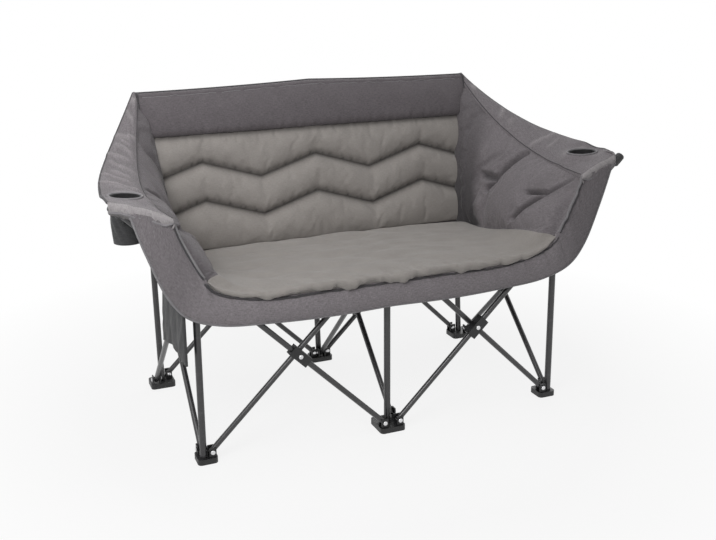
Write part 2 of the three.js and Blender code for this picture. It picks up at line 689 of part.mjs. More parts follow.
function seatPad() {
  const top = (u, v) => {
    const [x, y] = seatPoint(u, v);
    const crown = puff(u, v) * (SEAT_CROWN - seatFold(x, y));
    return [x, y, seatEdgeHeight(x, y) + crown];
  };
  const under = (u, v) => {
    const [x, y] = seatPoint(u, v);
    return [x, y, slingTop(x, y) + LAY];
  };
  place('seat_pad', closedSheet(...SEAT_GRID, top, under), padCloth);
}

function seatSling() {
  const face = (drop) => (u, v) => {
    const [x, y] = seatPoint(u, v);
    return [x, y, slingTop(x, y) - drop];
  };
  place('seat_sling', closedSheet(...SEAT_GRID, face(0), face(CLOTH)), shellCloth);
}

function strapTop(x, y) {
  return slingTop(x, y) - CLOTH - LAY;
}

function seatStrap() {
  const face = (drop) => (u, v) => {
    const x = lerp(-STRAP_HALF, STRAP_HALF, u);
    const y = FRONT_Y + lerp(-STRAP_WIDTH / 2, STRAP_WIDTH / 2, v);
    return [x, y, strapTop(x, y) - drop - STRAP_DROP];
  };
  place('seat_support_strap', closedSheet(12, 1, face(0), face(STRAP_T)), darkCloth);
}

// Back: a quilted pad, a headrest band that hoods the posts, and a shell behind both

function backY(z) {
  return BACK_LOW_Y + BACK_SLOPE * (z - BACK_LOW_Z);
}

function backHalf(z) {
  return lerp(BACK_LOW_HALF, BACK_TOP_HALF, smooth((z - BACK_LOW_Z) / (BACK_TOP_Z - BACK_LOW_Z)));
}

function backPad() {
  const place2 = (u, v) => {
    const z = lerp(BACK_LOW_Z, BACK_SPLIT_Z - SEAM, v);
    const half = backHalf(z) - BACK_INSET;
    return [lerp(-half, half, u), z];
  };
  const front = (u, v) => {
    const [x, z] = place2(u, v);
    const sewn = ZIGZAG_LINES.reduce((sum, line) => sum + channel(z - line - zigzag(x)), 0);
    return [x, backY(z) - puff(u, v) * (BACK_CROWN - BACK_CHANNEL * Math.min(1, sewn)), z];
  };
  const rear = (u, v) => {
    const [x, z] = place2(u, v);
    return [x, backY(z) + BACK_PAD, z];
  };
  place('back_pad', closedSheet(28, 12, front, rear), padCloth);
}

function backShell() {
  const face = (depth) => (u, v) => {
    const z = lerp(BACK_LOW_Z - PAD_EDGE, BACK_SPLIT_Z - SEAM, v);
    const half = backHalf(z);
    return [lerp(-half, half, u), backY(z) + BACK_PAD + LAY + depth, z];
  };
  place('back_shell', closedSheet(12, 8, face(0), face(CLOTH)), shellCloth);
}

// The band runs up the front, over the post tops and down behind them as a flap
function headrestBand() {
  const postFront = rearPostY(REAR_POST_TOP) - POST_R - SIDE_FIT;
  const postBack = rearPostY(REAR_POST_TOP) + POST_R + HOOD_PLAY;
  const topAt = (x) => BACK_TOP_Z + BACK_PEAK * (1 - Math.abs(x) / BACK_TOP_HALF) ** 2;
  const section = (x, outer) => {
    const top = topAt(x);
    const crown = BACK_CROWN * puff((x / BACK_TOP_HALF + 1) / 2, 0.5);
    const frontLow = backY(BACK_SPLIT_Z);
    const frontHigh = backY(BACK_TOP_Z);
    const skin = outer ? 0 : CLOTH;
    return [
      [frontLow + (outer ? 0 : BACK_PAD), BACK_SPLIT_Z],
      [lerp(frontLow, frontHigh, 0.3) + (outer ? -crown : BACK_PAD), lerp(BACK_SPLIT_Z, top, 0.3)],
      [lerp(frontLow, frontHigh, 0.7) + (outer ? -crown : BACK_PAD), lerp(BACK_SPLIT_Z, top, 0.7)],
      [outer ? frontHigh : postFront, top - HOOD_SHOULDER],
      [outer ? frontHigh + HOOD_ROUND : postFront + SEAM, outer ? top : top - HOOD_T],
      [outer ? postBack - CLOTH : postBack - HOOD_T, outer ? top : top - HOOD_T],
      [postBack + CLOTH - skin, top - HOOD_CORNER - (3 * skin) / 4],
      [postBack + CLOTH - skin, top - HOOD_FLAP],
    ];
  };
  const last = 7;
  const face = (outer) => (u, v) => {
    const k = Math.round(v * last);
    const z = lerp(BACK_SPLIT_Z, BACK_TOP_Z, Math.min(1, k / 3));
    const x = lerp(-backHalf(z), backHalf(z), u);
    const [y, height] = section(x, outer)[k];
    return [x, y, height];
  };
  place('headrest_band', closedSheet(22, last, face(true), face(false)), shellCloth);
}

// Arms: the inner pad climbs from the seat to a seam, and the top runs from there to the outer edge

function curve(points) {
  return new THREE.CatmullRomCurve3(points.map((p) => new THREE.Vector3(...p)), false, 'centripetal');
}

// Each runs from the back, at share 0, to the front, at share 1
function armRoot(share) {
  const y = lerp(ARM_ROOT_Y, ARM_MEET_Y, share);
  return new THREE.Vector3(SEAT_HALF + SEAM, y, seatEdgeHeight(SEAT_HALF, y));
}

function armEdge(share) {
  const rest = (1 - share) ** ARM_EDGE_FALL;
  const rearZ = BACK_TOP_Z - ARM_EDGE_DROP;
  return new THREE.Vector3(
    lerp(ARM_TIP_X + ARM_TIP_OVERHANG, BACK_TOP_HALF + ARM_EDGE_OUT, rest),
    lerp(backY(rearZ) + ARM_EDGE_LAP, ARM_FRONT_Y, share),
    lerp(ARM_TIP_Z + ARM_TIP_COVER, rearZ, rest),
  );
}

function armSeam(share) {
  const front = armEdge(1);
  const rest = (1 - share) ** ARM_SEAM_FALL;
  const rearZ = BACK_TOP_Z - ARM_SEAM_DROP;
  const straight = lerp(BACK_TOP_HALF + ARM_SEAM_OUT, front.x - ARM_TOP_WIDTH, share);
  return new THREE.Vector3(
    straight + ARM_SEAM_BULGE * Math.sin(Math.PI * share),
    lerp(backY(rearZ) - ARM_BACK_GAP, ARM_MEET_Y, share),
    lerp(front.z - ARM_TOP_SLANT, rearZ, rest),
  );
}

const TUFTS = [[0.45, 0.62], [0.78, 0.5]];

function armPadFace(u, v) {
  const root = armRoot(u);
  const seam = armSeam(u);
  const toFront = smooth((ARM_MEET_Y + ARM_TURN - root.y) / ARM_TURN);
  const spread = lerp(v ** ARM_PAD_CURL, 1 - (1 - v) ** BAND_CURL, toFront);
  const x = lerp(root.x, seam.x, spread);
  const z = lerp(root.z, seam.z, v);
  const rate = lerp(ARM_PAD_CURL * v ** (ARM_PAD_CURL - 1), BAND_CURL * (1 - v) ** (BAND_CURL - 1), toFront);
  const slope = (rate * (seam.x - root.x)) / (seam.z - root.z);
  const normal = new THREE.Vector3(1, 0, -slope).normalize();
  return { point: new THREE.Vector3(x, lerp(root.y, seam.y, v), z), normal };
}

function armPad(tag, side) {
  const face = (outer) => (u, v) => {
    const { point, normal } = armPadFace(u, v);
    const tuft = TUFTS.reduce((sum, [a, b]) => sum + Math.exp(-(((u - a) / 0.07) ** 2) - ((v - b) / 0.12) ** 2), 0);
    const swell = puff(u, v);
    const shift = outer ? ARM_PAD_EDGE + ARM_PAD_THICK * swell : -swell * (ARM_CROWN - ARM_TUFT * Math.min(1, tuft));
    point.addScaledVector(normal, shift);
    return [side * point.x, point.y, point.z];
  };
  place(`arm_pad_${tag}`, closedSheet(ARM_COLUMNS, 9, face(false), face(true)), shellCloth);
}

function armTopPoint(u, v) {
  const seam = armSeam(u);
  const edge = armEdge(u);
  return new THREE.Vector3(lerp(seam.x, edge.x, v), lerp(seam.y, edge.y, v), lerp(seam.z, edge.z, v));
}

function armSlope() {
  const u = armTopAt(CUP_Y);
  const across = armEdge(u).sub(armSeam(u));
  return across.z / across.x;
}

function armTopAt(y) {
  let low = 0;
  let high = 1;
  for (let step = 0; step < 30; step += 1) {
    const middle = (low + high) / 2;
    if (armTopPoint(middle, 0.5).y > y) {
      low = middle;
    } else {
      high = middle;
    }
  }
  return low;
}

const { x: CUP_X, z: CUP_Z } = armTopPoint(armTopAt(CUP_Y), CUP_SHARE);

function armTop(tag, side) {
  const face = (drop) => (u, v) => {
    const inset = ARM_PAD_EDGE + ARM_PAD_THICK;
    const seam = armSeam(u);
    const share = v + (1 - v) * (SEAM / Math.max(inset, armEdge(u).x - seam.x));
    const point = armTopPoint(u, share);
    const wrinkle = ARM_WRINKLE * Math.sin(13 * Math.PI * u) * Math.sin(Math.PI * v) * smooth(2.2 - 3 * u);
    return [side * point.x, point.y, point.z + SEAM + wrinkle + drop];
  };
  const panel = solid(closedSheet(ARM_COLUMNS, 5, face(ARM_TOP_T), face(0)));
  const cut = CUP_DEPTH;
  const hole = bar(CUP_HOLE_R, CUP_SIDES, [side * CUP_X, CUP_Y, CUP_Z - cut], [side * CUP_X, CUP_Y, CUP_Z + cut]);
  place(`arm_top_${tag}`, geometryOf(panel.subtract(hole)), shellCloth);
}

// Cup holders: open fabric cups whose rims follow the slope of the arm
function cupHolder(tag, side) {
  const rim = CUP_HOLE_R - FIT - 0.4;
  const floor = -CUP_DEPTH;
  const profile = [
    [0, floor], [rim - CUP_TAPER - 6, floor], [rim - CUP_TAPER, floor + 8], [rim, -30], [rim, ARM_TOP_T],
    [rim - CUP_WALL, ARM_TOP_T], [rim - CUP_WALL, -30], [rim - CUP_TAPER - CUP_WALL, floor + 10],
    [rim - CUP_TAPER - 8, floor + CUP_WALL], [0, floor + CUP_WALL],
  ].map(([r, z]) => new THREE.Vector2(r, z));
  const geometry = new THREE.LatheGeometry(profile, CUP_SIDES);
  geometry.rotateX(Math.PI / 2);
  const slant = new THREE.Matrix4().set(1, 0, 0, 0, 0, 1, 0, 0, side * armSlope(), 0, 1, 0, 0, 0, 0, 1);
  geometry.applyMatrix4(slant);
  const seat = new THREE.Matrix4().makeTranslation(side * CUP_X, CUP_Y, CUP_Z);
  place(`cup_holder_${tag}`, geometryOf(solid(geometry)), darkCloth, seat);
}

function buckle() {
  const front = CUP_Y - (CUP_HOLE_R - FIT - 0.4) - LAY;
  const drop = CUP_Z - BUCKLE_DROP;
  const body = block(-CUP_X - BUCKLE_W / 2, -CUP_X + BUCKLE_W / 2, front - BUCKLE_T, front, drop - BUCKLE_H, drop);
  const window = block(-CUP_X - BUCKLE_W / 4, -CUP_X + BUCKLE_W / 4,
    front - 2 * BUCKLE_T, front + 1, drop - BUCKLE_H / 2, drop - BUCKLE_H / 4);
  place('strap_buckle', geometryOf(body.subtract(window)), plastic);
}

// Front: one apron across the seat and a band up each arm, sharing an inner and an outer edge

// The inner edge follows the front of the seat, then climbs to the arm's seam
function bandInnerPoints() {
  const along = [0, 0.36, 0.71, 0.92].map((share) => share * SEAT_HALF);
  const seat = along.map((x) => [x, APRON_Y, seatEdgeHeight(x, SEAT_FRONT) + APRON_TUCK]);
  const foot = seatEdgeHeight(SEAT_HALF, SEAT_FRONT);
  const head = armSeam(1);
  const climb = [0.06, 0.37, 0.7, 1].map((share) => {
    const out = 1 - (1 - share) ** BAND_CURL;
    return [lerp(SEAT_HALF, head.x, out), APRON_Y, lerp(foot, head.z, share)];
  });
  return [...seat, ...climb];
}

// The outer edge hangs below the seat, rounds the corner post and climbs to the arm's tip
function bandOuterPoints() {
  const low = SEAT_FRONT_Z + APRON_TUCK - APRON_DROP;
  const corner = [BAY + BAND_CORNER_OUT, HUB_PIVOT_Z - BAND_CORNER_DROP];
  const end = [ARM_TIP_X - BAND_END_INSET, ARM_TIP_Z - BAND_END_DROP];
  const toward = (from, to, across, up) => [lerp(from[0], to[0], across), lerp(from[1], to[1], up)];
  const points = [
    [0, low],
    [BAY / 3, low - APRON_BULGE / 2],
    toward([0, low], corner, 0.56, 0.02),
    toward([0, low], corner, 0.79, 0.15),
    toward([0, low], corner, 0.925, 0.46),
    corner,
    toward(corner, end, 0.39, 0.46),
    end,
  ];
  return points.map(([x, z]) => [x, APRON_Y, z]);
}

const bandInner = curve(bandInnerPoints());
const bandOuter = curve(bandOuterPoints());

const BAND_SPLIT = 0.55;

function bandPoint(s, w, depth) {
  const share = Math.abs(s);
  const side = s < 0 ? -1 : 1;
  const point = bandInner.getPoint(share).lerp(bandOuter.getPoint(share), w);
  const bulge = depth > 0 ? APRON_BULGE * Math.sin(Math.PI * w) : 0;
  return [side * point.x, point.y - depth - bulge, point.z];
}

function frontApron() {
  const face = (depth) => (u, w) => bandPoint(lerp(-BAND_SPLIT, BAND_SPLIT, u), w, depth);
  place('front_apron', closedSheet(28, 4, face(APRON_T), face(0)), shellCloth);
}

function frontBand(tag, side) {
  const start = BAND_SPLIT + 0.001;
  const face = (depth) => (u, w) => bandPoint(side * lerp(start, 1, u), w, depth);
  place(`front_band_${tag}`, closedSheet(10, 4, face(APRON_T), face(0)), shellCloth);
}

// A cloth pocket hangs outside the left legs from the band
function sidePocket() {
  const face = (depth) => (u, v) => {
    const y = APRON_Y + LAY + POCKET_LENGTH * u;
    const low = POCKET_BOTTOM - POCKET_TILT * u + POCKET_LIFT * Math.sin(Math.PI * u);
    const fold = POCKET_FOLD * Math.sin(3.4 * Math.PI * u) * smooth(1 - v);
    return [POCKET_X - depth - Math.abs(fold), y, lerp(low, POCKET_TOP - POCKET_SLOPE * u, v)];
  };
  place('side_pocket', closedSheet(12, 7, face(0), face(POCKET_T)), darkCloth);
}

// Assembly

const TAGS = [['left', -1], ['right', 1]];

function frame() {
  const middleTop = strapTop(0, FRONT_Y + STRAP_WIDTH / 2) - STRAP_DROP - STRAP_T - LAY;
  frontPost('front_post_middle', 0, middleTop);
  foot('front_foot_middle', 0, FRONT_Y, [
    { x: -LUG, y: FRONT_LONG_OFFSET, pin: 'y' },
    { x: LUG, y: FRONT_LONG_OFFSET, pin: 'y' },
    { x: SIDE_SECOND_OFFSET, y: LUG, pin: 'x' },
  ], false);
  rearPost('rear_post_middle', 0);
  foot('rear_foot_middle', 0, REAR_Y, [
    { x: -LUG, y: REAR_FIRST_OFFSET, pin: 'y' },
    { x: LUG, y: REAR_FIRST_OFFSET, pin: 'y' },
    { x: 0, y: -LUG, pin: 'x' },
  ], true);
  middlePair();
  rearMiddleHub();
  for (const [tag, side] of TAGS) {
    frontPost(`front_post_${tag}`, side * BAY, CORNER_POST_TOP);
    foot(`front_foot_${tag}`, side * BAY, FRONT_Y, [
      { x: -side * LUG, y: 0, pin: 'y' },
      { x: 0, y: LUG, pin: 'x' },
    ], false);
    rearPost(`rear_post_${tag}`, side * BAY);
    foot(`rear_foot_${tag}`, side * BAY, REAR_Y, [
      { x: -side * LUG, y: REAR_SECOND_OFFSET, pin: 'y' },
      { x: side * SIDE_SECOND_OFFSET, y: -LUG, pin: 'x' },
    ], true);
    frontPair(tag, side);
    rearPair(tag, side);
    sidePair(tag, side);
    frontHub(tag, side);
    rearCornerHub(tag, side);
  }
}

function fabric() {
  seatSling();
  seatPad();
  seatStrap();
  backShell();
  backPad();
  headrestBand();
  frontApron();
  for (const [tag, side] of TAGS) {
    armPad(tag, side);
    armTop(tag, side);
    cupHolder(tag, side);
    frontBand(tag, side);
  }
  buckle();
  sidePocket();
}

frame();
fabric();

export default loveseat;
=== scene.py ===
"""Looks for a folding two-seat camping chair: fabric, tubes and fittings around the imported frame."""

import json
import math
from contextlib import contextmanager

import bmesh
import bpy
import numpy as np
from mathutils import Matrix, Vector


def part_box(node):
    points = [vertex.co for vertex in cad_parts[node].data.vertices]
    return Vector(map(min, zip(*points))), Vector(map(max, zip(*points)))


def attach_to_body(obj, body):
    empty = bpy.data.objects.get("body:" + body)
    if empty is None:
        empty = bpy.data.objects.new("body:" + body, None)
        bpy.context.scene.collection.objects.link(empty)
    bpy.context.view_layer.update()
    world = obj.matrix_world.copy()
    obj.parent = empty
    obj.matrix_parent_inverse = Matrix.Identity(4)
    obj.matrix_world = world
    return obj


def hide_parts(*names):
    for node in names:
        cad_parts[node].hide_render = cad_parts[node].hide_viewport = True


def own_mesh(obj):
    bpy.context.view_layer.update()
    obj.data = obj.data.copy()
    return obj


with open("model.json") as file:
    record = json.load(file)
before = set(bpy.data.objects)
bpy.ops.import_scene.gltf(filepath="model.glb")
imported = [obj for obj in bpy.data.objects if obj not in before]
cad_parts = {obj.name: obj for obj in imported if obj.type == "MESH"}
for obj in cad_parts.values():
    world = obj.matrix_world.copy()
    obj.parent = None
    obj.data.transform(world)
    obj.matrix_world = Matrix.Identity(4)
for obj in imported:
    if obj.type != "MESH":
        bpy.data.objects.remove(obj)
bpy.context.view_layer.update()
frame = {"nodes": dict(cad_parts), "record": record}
nodes = frame["nodes"]

# The camera that took the photograph, in metres, degrees and pixels

PHOTO_WIDTH = 716
CAMERA_PLACE = (-1.0489, -2.495, 1.2461)
CAMERA_YAW = -19.949
CAMERA_PITCH = 13.692
CAMERA_ROLL = -1.3
FOCAL_PIXELS = 908.9
CENTRE_PIXELS = (-55.9, -60.0)
SENSOR = 36.0

# Light: the strength of the surroundings, and lamps by place, target, width, power and spread in degrees

AMBIENT = 0.3
LIGHTS = {
    "key": ((-1.25, -1.5, 1.75), (-0.45, 0.2, 0.75), 0.9, 5.2, 95.0),
    "side": ((-1.9, -1.2, 1.7), (-0.1, 0.2, 0.75), 1.1, 10.0, 180.0),
    "top": ((0.0, -0.1, 2.6), (0.0, -0.1, 0.5), 2.0, 11.5, 180.0),
    "rear": ((1.7, 2.1, 1.5), (0.1, 0.2, 0.6), 2.4, 17.0, 180.0),
}

# Frame, in metres

SIDES = (("left", -1), ("right", 1))
FRONT_Y = -0.291
REAR_Y = 0.259
BAY = 0.55
REAR_LEAN = math.radians(4.2)
POST_R = 0.0095
LUG = 0.024
LUG_HEAD = 0.0142
FOOT_PIVOT_Z = 0.03
HUB_PIVOT_Z = 0.52
PAIR_GAP = 0.022
FRONT_LONG_OFFSET = -0.026
TUBE_WALL = 0.0014
TUBE_CHAMFER = 0.0007
HEAD_SINK = 0.0016

# Seat

SEAT_LOW, SEAT_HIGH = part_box("seat_pad")
SEAT_HALF = SEAT_HIGH.x
SEAT_FRONT = SEAT_LOW.y
SEAT_REAR = SEAT_HIGH.y
SEAT_FRONT_Z = 0.465
SEAT_REAR_Z = 0.448
SEAT_CORNER_RISE = SEAT_HIGH.z - SEAT_FRONT_Z
SEAT_RISE_LENGTH = 0.44
SEAT_CORNER_POWER = 10
SEAT_FRONT_RISE = 0.06
SEAT_FLARE = 0.037
SEAT_FLARE_Y = -0.303
SEAT_FLARE_LENGTH = 0.024
SEAT_SPREAD = 0.028
SEAT_SPREAD_Y = SEAT_FLARE_Y + 0.05
SEAT_SPREAD_LENGTH = 0.4
SEAT_TUCK = 0.0215
SEAT_SAG = 0.015
SEAT_CROWN = 0.02
FRONT_CROWN = 0.016
FRONT_CROWN_LENGTH = 0.09
REAR_CROWN_LENGTH = 0.03
LIP_R = 0.0115
LIP_OUT = 0.0105
LIP_TURN = math.radians(165)
LIP_SCALLOP = 0.0035
LIP_GATHER = 0.0013
LIP_THICK = 0.004
PAD_EDGE = 0.014
CLOTH = 0.004
TOUCH = 0.0004
STRAP_GAP = 0.0009
STRAP_T = 0.003

# Folds that lie across the seat: share of its depth, depth and half width

SEAT_FOLD_LINES = ((0.26, 0.007, 0.026), (0.47, 0.008, 0.02), (0.63, 0.006, 0.015), (0.8, 0.008, 0.022))

# Back and headrest

BACK_LOW_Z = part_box("back_pad")[0].z
BACK_SPLIT_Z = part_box("headrest_band")[0].z
BACK_PEAK = 0.012
BACK_TOP_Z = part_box("headrest_band")[1].z - BACK_PEAK
BACK_LOW_HALF = SEAT_HALF + SEAT_SPREAD + 0.004
BACK_TOP_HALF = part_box("headrest_band")[1].x
BACK_INSET = 0.002
BACK_LOW_Y = SEAT_REAR + 0.004
BACK_SLOPE = 0.2
BACK_PAD = 0.018
BACK_CROWN = 0.012
BACK_LAP = 0.01
BACK_PUFF = 0.016
BACK_END = 0.03
PANEL_LAP = 0.015
PANEL_SLACK = 0.003
ZIGZAG_PITCH = 0.38
ZIGZAG_SWING = 0.029
ZIGZAG_LINES = (0.573, 0.692)
SEAM_DEPTH = 0.008
SEAM_DRAW = 0.01
SEAM_HALF = 0.013
THREAD_SHOW = 0.0006
HEM_DROP = 0.012
HEADREST_TOP_POINT = 7
POST_TOP_DROP = 0.016

# Front

APRON_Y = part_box("front_apron")[1].y
APRON_DROP = 0.08
APRON_BULGE = 0.007
APRON_T = 0.008
APRON_TUCK = 0.006
BAND_CURL = 1.25
BAND_SPLIT = 0.55
BAND_LAP = 0.004
BAND_SEED = 91
BAND_CORNER_OUT = 0.0735
BAND_CORNER_DROP = 0.035
BAND_END_IN = 0.05
BAND_END_DROP = 0.02
EDGE_GAP = 0.001
# Painted light on the front: where across the front it has faded out, and over how much it fades
FRONT_LIGHT_REACH = 0.74
FRONT_LIGHT_FADE = 0.3
# Row of the apron that carries a dark cord, painted shadow under the seat's lip
LIP_SHADOW_ROW = 2

# Arms, on the right

ARM_EDGE_FRONT = Vector((0.7643, -0.318, 0.7481))
ARM_EDGE_REAR = Vector((0.573, 0.318, 0.9405))
ARM_SEAM_FRONT = Vector((0.6063, APRON_Y, 0.6971))
ARM_SEAM_REAR = Vector((0.567, 0.283, 0.917))
ARM_EDGE_SPREAD = 2.3
ARM_EDGE_FALL = 3.3
ARM_SEAM_FALL = 2.8
ARM_SEAM_BULGE = 0.04
ARM_ROOT_Y = SEAT_REAR - 0.006
ARM_ROOT_GAP = 0.0005
ARM_PAD_CURL = 1.7
ARM_PAD_FRONT = 0.01
ARM_PAD_DEPTH = 0.016
ARM_PAD_SKIN = (0.001, 0.006)
ARM_TURN = 0.2
ARM_LAP = 0.016
ARM_LAP_FORWARD = 0.018
ARM_REAR_TUCK = np.array([-0.016, 0.034, 0.0])
ARM_LOW_TUCK = np.array([-0.012, 0.0, -0.01])
ARM_TOP_TUCK = np.array([-0.035, 0.012, -0.01])
ARM_FRONT_REACH = np.array([0.0, -0.006, 0.0])
ARM_WRAP = 0.003
ARM_STRETCH = np.array([0.55, 0.33])
# Painted shade on the arm pads: the share of their length it covers from the rear, its fade, and a least
# amount for each side
SHADE_SHARE = 0.15
SHADE_FADE = 0.1
ARM_SHADE = {"left": 0.2, "right": 0.0}
CREASE_HALF = 0.0095
CREASE_DEPTH = 0.034
CREASE_PIN = 0.004
CREASE_SHADE_HALF = 0.006

# Creases of the inner sides, as shares from the back to the front and from the seat up

ARM_CREASES = {
    "right": (
        ((0.95, 0.9), (0.83, 0.6), (0.7, 0.55)),
        ((0.83, 0.6), (0.66, 0.16)),
        ((0.52, 0.97), (0.38, 0.55), (0.3, 0.4)),
        ((0.38, 0.55), (0.24, 0.5)),
    ),
    "left": (((0.9, 0.85), (0.7, 0.55), (0.5, 0.5)), ((0.5, 0.9), (0.34, 0.55))),
}

# Arm tops: the roll over the inner side, the flange in front, the front corner's shift in x and y,
# and the ridges by count and height

ARM_ROLL = ((0.0, -0.013), (-0.0025, -0.009), (-0.0025, -0.004))
ARM_FLANGE = ((0.35, 0.03), (0.75, 0.2), (1.0, 0.55), (0.8, 1.0))
FLANGE_OUT = 0.0165
FLANGE_DROP = (0.03, 0.024)
FLANGE_START = 0.4
FLANGE_ROWS = 7
ARM_CORNER = {"left": (-0.004, 0.0), "right": (-0.036, 0.006)}
ARM_RIDGES = {"left": (15, 0.0075), "right": (6, 0.0035)}
RIDGE_SEED = 61
RIDGE_REACH = 0.84
# How far the ridges' crests take the pale second tone, a painted highlight
CREST_HIGHLIGHT = 0.55
ARM_TOP_T = (0.003, 0.0075)
ARM_TOP_CROWN = 0.006
ARM_CUT_Y = 0.095
CUT_LAP = 2

# Cup holders and pocket

CUP_LOW, CUP_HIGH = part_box("cup_holder_right")
CUP_CENTRE = (CUP_LOW + CUP_HIGH) / 2
CUP_R = (CUP_HIGH.x - CUP_LOW.x) / 2
CUP_HOLE_R = CUP_R + 0.0008
CUP_FLAT = 0.8
CUP_FLAT_R = 0.085
CUP_FLAT_LENGTH = 0.045
CUP_TOP = 0.0135
CUP_T = 0.003
CUP_SHARE = 0.86
POCKET_LOW_Z = 0.3
POCKET_T = 0.005

# Pads that swell: pressure, slack, and the furthest that a point moves

SEAT_SWELL = (2.4, 0.03, 0.009)
BACK_SWELL = (3.0, 0.014, 0.011)
ARM_SWELL = (3.4, 0.04, 0.014)

# Trims: radii of a dark cord that is painted shadow under the seat's lip, of seams, pipings, hems and
# threads, and where those of the bands begin, in columns

LIP_SHADOW_R = (0.0042, 0.0018)
END_SEAM_R = 0.0042
BAND_SEAM_R = 0.0028
BAND_SEAM_START = 8
BAND_PIPING_R = 0.0034
BAND_PIPING_START = 6
EDGE_PIPING_R = 0.0036
HEM_R = 0.0032
POCKET_HEM_R = 0.003
ZIGZAG_THREAD_R = 0.0016
ARM_THREAD_R = 0.0014
HEM_THREAD_R = 0.0009

# How fine the meshes are: grids by columns and rows, rows between the back's seams, and sides of round pieces

SEAT_GRID = (150, 66)
LIP_ROWS = 11
SLING_GRID = (70, 38)
STRAP_GRID = (60, 6)
BACK_COLUMNS = 152
BACK_STRETCHES = (22, 22, 22)
PANEL_GRID = (90, 46)
HEADREST_GRID = (150, 62)
BAND_ROWS = 22
APRON_COLUMNS = 190
BAND_COLUMNS = 96
ARM_PAD_GRID = (116, 64)
ARM_TOP_GRID = (190, 34)
CUP_ROWS = 26
POCKET_GRID = (44, 40)
TUBE_SIDES = 28
RIVET_SIDES = 20
CUP_SIDES = 72
CORD_SIDES = 10
THREAD_SIDES = 8

# How each part of the fabric would gather as the frame folds, across or front to back; the script itself only
# gives a piece with a fold a mesh of its own

FOLD_ACROSS = {"axis": (1, 0, 0), "anchor": (0, 0, 0), "keep": 0.14}
FOLD_TO_REAR = {"axis": (0, 1, 0), "anchor": (0, REAR_Y, 0), "keep": 0.12}
FOLD_TO_FRONT = {"axis": (0, 1, 0), "anchor": (0, FRONT_Y, 0), "keep": 0.2}


def fold_to_side(side):
    return {"axis": (1, 0, 0), "anchor": (side * BAY, 0, 0), "keep": 0.3}


def fold_along_arm(side):
    """From the middle of an arm top's front towards its rear."""
    rear = (ARM_EDGE_REAR + ARM_SEAM_REAR) / 2
    way = (ARM_EDGE_FRONT + ARM_SEAM_FRONT) / 2 - rear
    return {"axis": (side * way.x, way.y, 0), "anchor": (side * rear.x, rear.y, 0), "keep": 0.1}


# Shaping functions

def lerp(a, b, t):
    return a + (b - a) * t


def smooth(t):
    t = np.clip(t, 0, 1)
    return t * t * (3 - 2 * t)


def bell(distance, half):
    return np.exp(-((distance / half) ** 2))


def puff(u, v):
    """Zero on the border of the unit square and one over its middle."""
    lift = np.clip(np.sin(np.pi * u), 0, 1) * np.clip(np.sin(np.pi * v), 0, 1)
    return np.minimum(1, np.sqrt(lift) * 1.05)


def ripple(x, pitch, seed):
    """Uneven waves along x, about one unit high, with the given spacing."""
    draw = np.random.default_rng(seed)
    total = np.zeros_like(np.asarray(x, float))
    for share in (0.63, 1.0, 1.47, 2.1):
        total = total + np.sin(2 * np.pi * x * share / pitch + draw.uniform(0, 2 * np.pi)) / (1 + share)
    return total


def spread_grid(size, across=(0, 1), down=(0, 1)):
    """Evenly spread places between two ends across and two ends down, by columns and rows."""
    return np.meshgrid(*(np.linspace(*ends, count) for ends, count in zip((across, down), size)))


def catmull(points, shares):
    """Points on the centripetal Catmull-Rom curve through points, at shares of its stretches."""
    points = np.asarray(points, float)
    ends = [2 * points[0] - points[1], *points, 2 * points[-1] - points[-2]]
    last = len(points) - 1
    result = []
    for share in np.clip(shares, 0, 1):
        i = min(int(share * last), last - 1)
        t = share * last - i
        p0, p1, p2, p3 = ends[i : i + 4]
        d0, d1, d2 = (max(np.linalg.norm(b - a) ** 0.5, 1e-6) for a, b in ((p0, p1), (p1, p2), (p2, p3)))
        t1 = ((p1 - p0) / d0 - (p2 - p0) / (d0 + d1) + (p2 - p1) / d1) * d1
        t2 = ((p2 - p1) / d1 - (p3 - p1) / (d1 + d2) + (p3 - p2) / d2) * d1
        c2 = 3 * (p2 - p1) - 2 * t1 - t2
        c3 = 2 * (p1 - p2) + t1 + t2
        result.append(p1 + t1 * t + c2 * t * t + c3 * t**3)
    return np.array(result)


# Meshes

@contextmanager
def opened(mesh):
    """Opens a mesh for editing, and puts it back at the end."""
    shell = bmesh.new()
    shell.from_mesh(mesh)
    yield shell
    shell.to_mesh(mesh)
    shell.free()


def face_outward(shell):
    bmesh.ops.recalc_face_normals(shell, faces=shell.faces)


def shade_smooth(mesh):
    mesh.polygons.foreach_set("use_smooth", [True] * len(mesh.polygons))


def mesh_object(name, vertices, faces, uv=None):
    mesh = bpy.data.meshes.new(name)
    mesh.from_pydata(np.asarray(vertices, float).tolist(), [], faces)
    if uv is not None:
        layer = mesh.uv_layers.new(name="cloth")
        corner = np.zeros(len(mesh.loops), np.int32)
        mesh.loops.foreach_get("vertex_index", corner)
        layer.data.foreach_set("uv", np.asarray(uv, np.float32)[corner].ravel())
    shade_smooth(mesh)
    obj = bpy.data.objects.new(name, mesh)
    bpy.context.scene.collection.objects.link(obj)
    with opened(mesh) as shell:
        face_outward(shell)
    return obj


def grid_faces(rows, columns, start=0):
    index = np.arange(rows * columns).reshape(rows, columns) + start
    corners = (index[:-1, :-1], index[:-1, 1:], index[1:, 1:], index[1:, :-1])
    return np.stack([c.ravel() for c in corners], 1)


def ring_faces(index):
    """Faces between rings of points that follow each other, from the points' numbers."""
    turned = np.roll(index, -1, 1)
    corners = (index[:-1], turned[:-1], turned[1:], index[1:])
    return np.stack([c.ravel() for c in corners], 1).tolist()


def border_loop(rows, columns):
    index = np.arange(rows * columns).reshape(rows, columns)
    return np.concatenate([index[0, :-1], index[:-1, -1], index[-1, :0:-1], index[:0:-1, 0]])


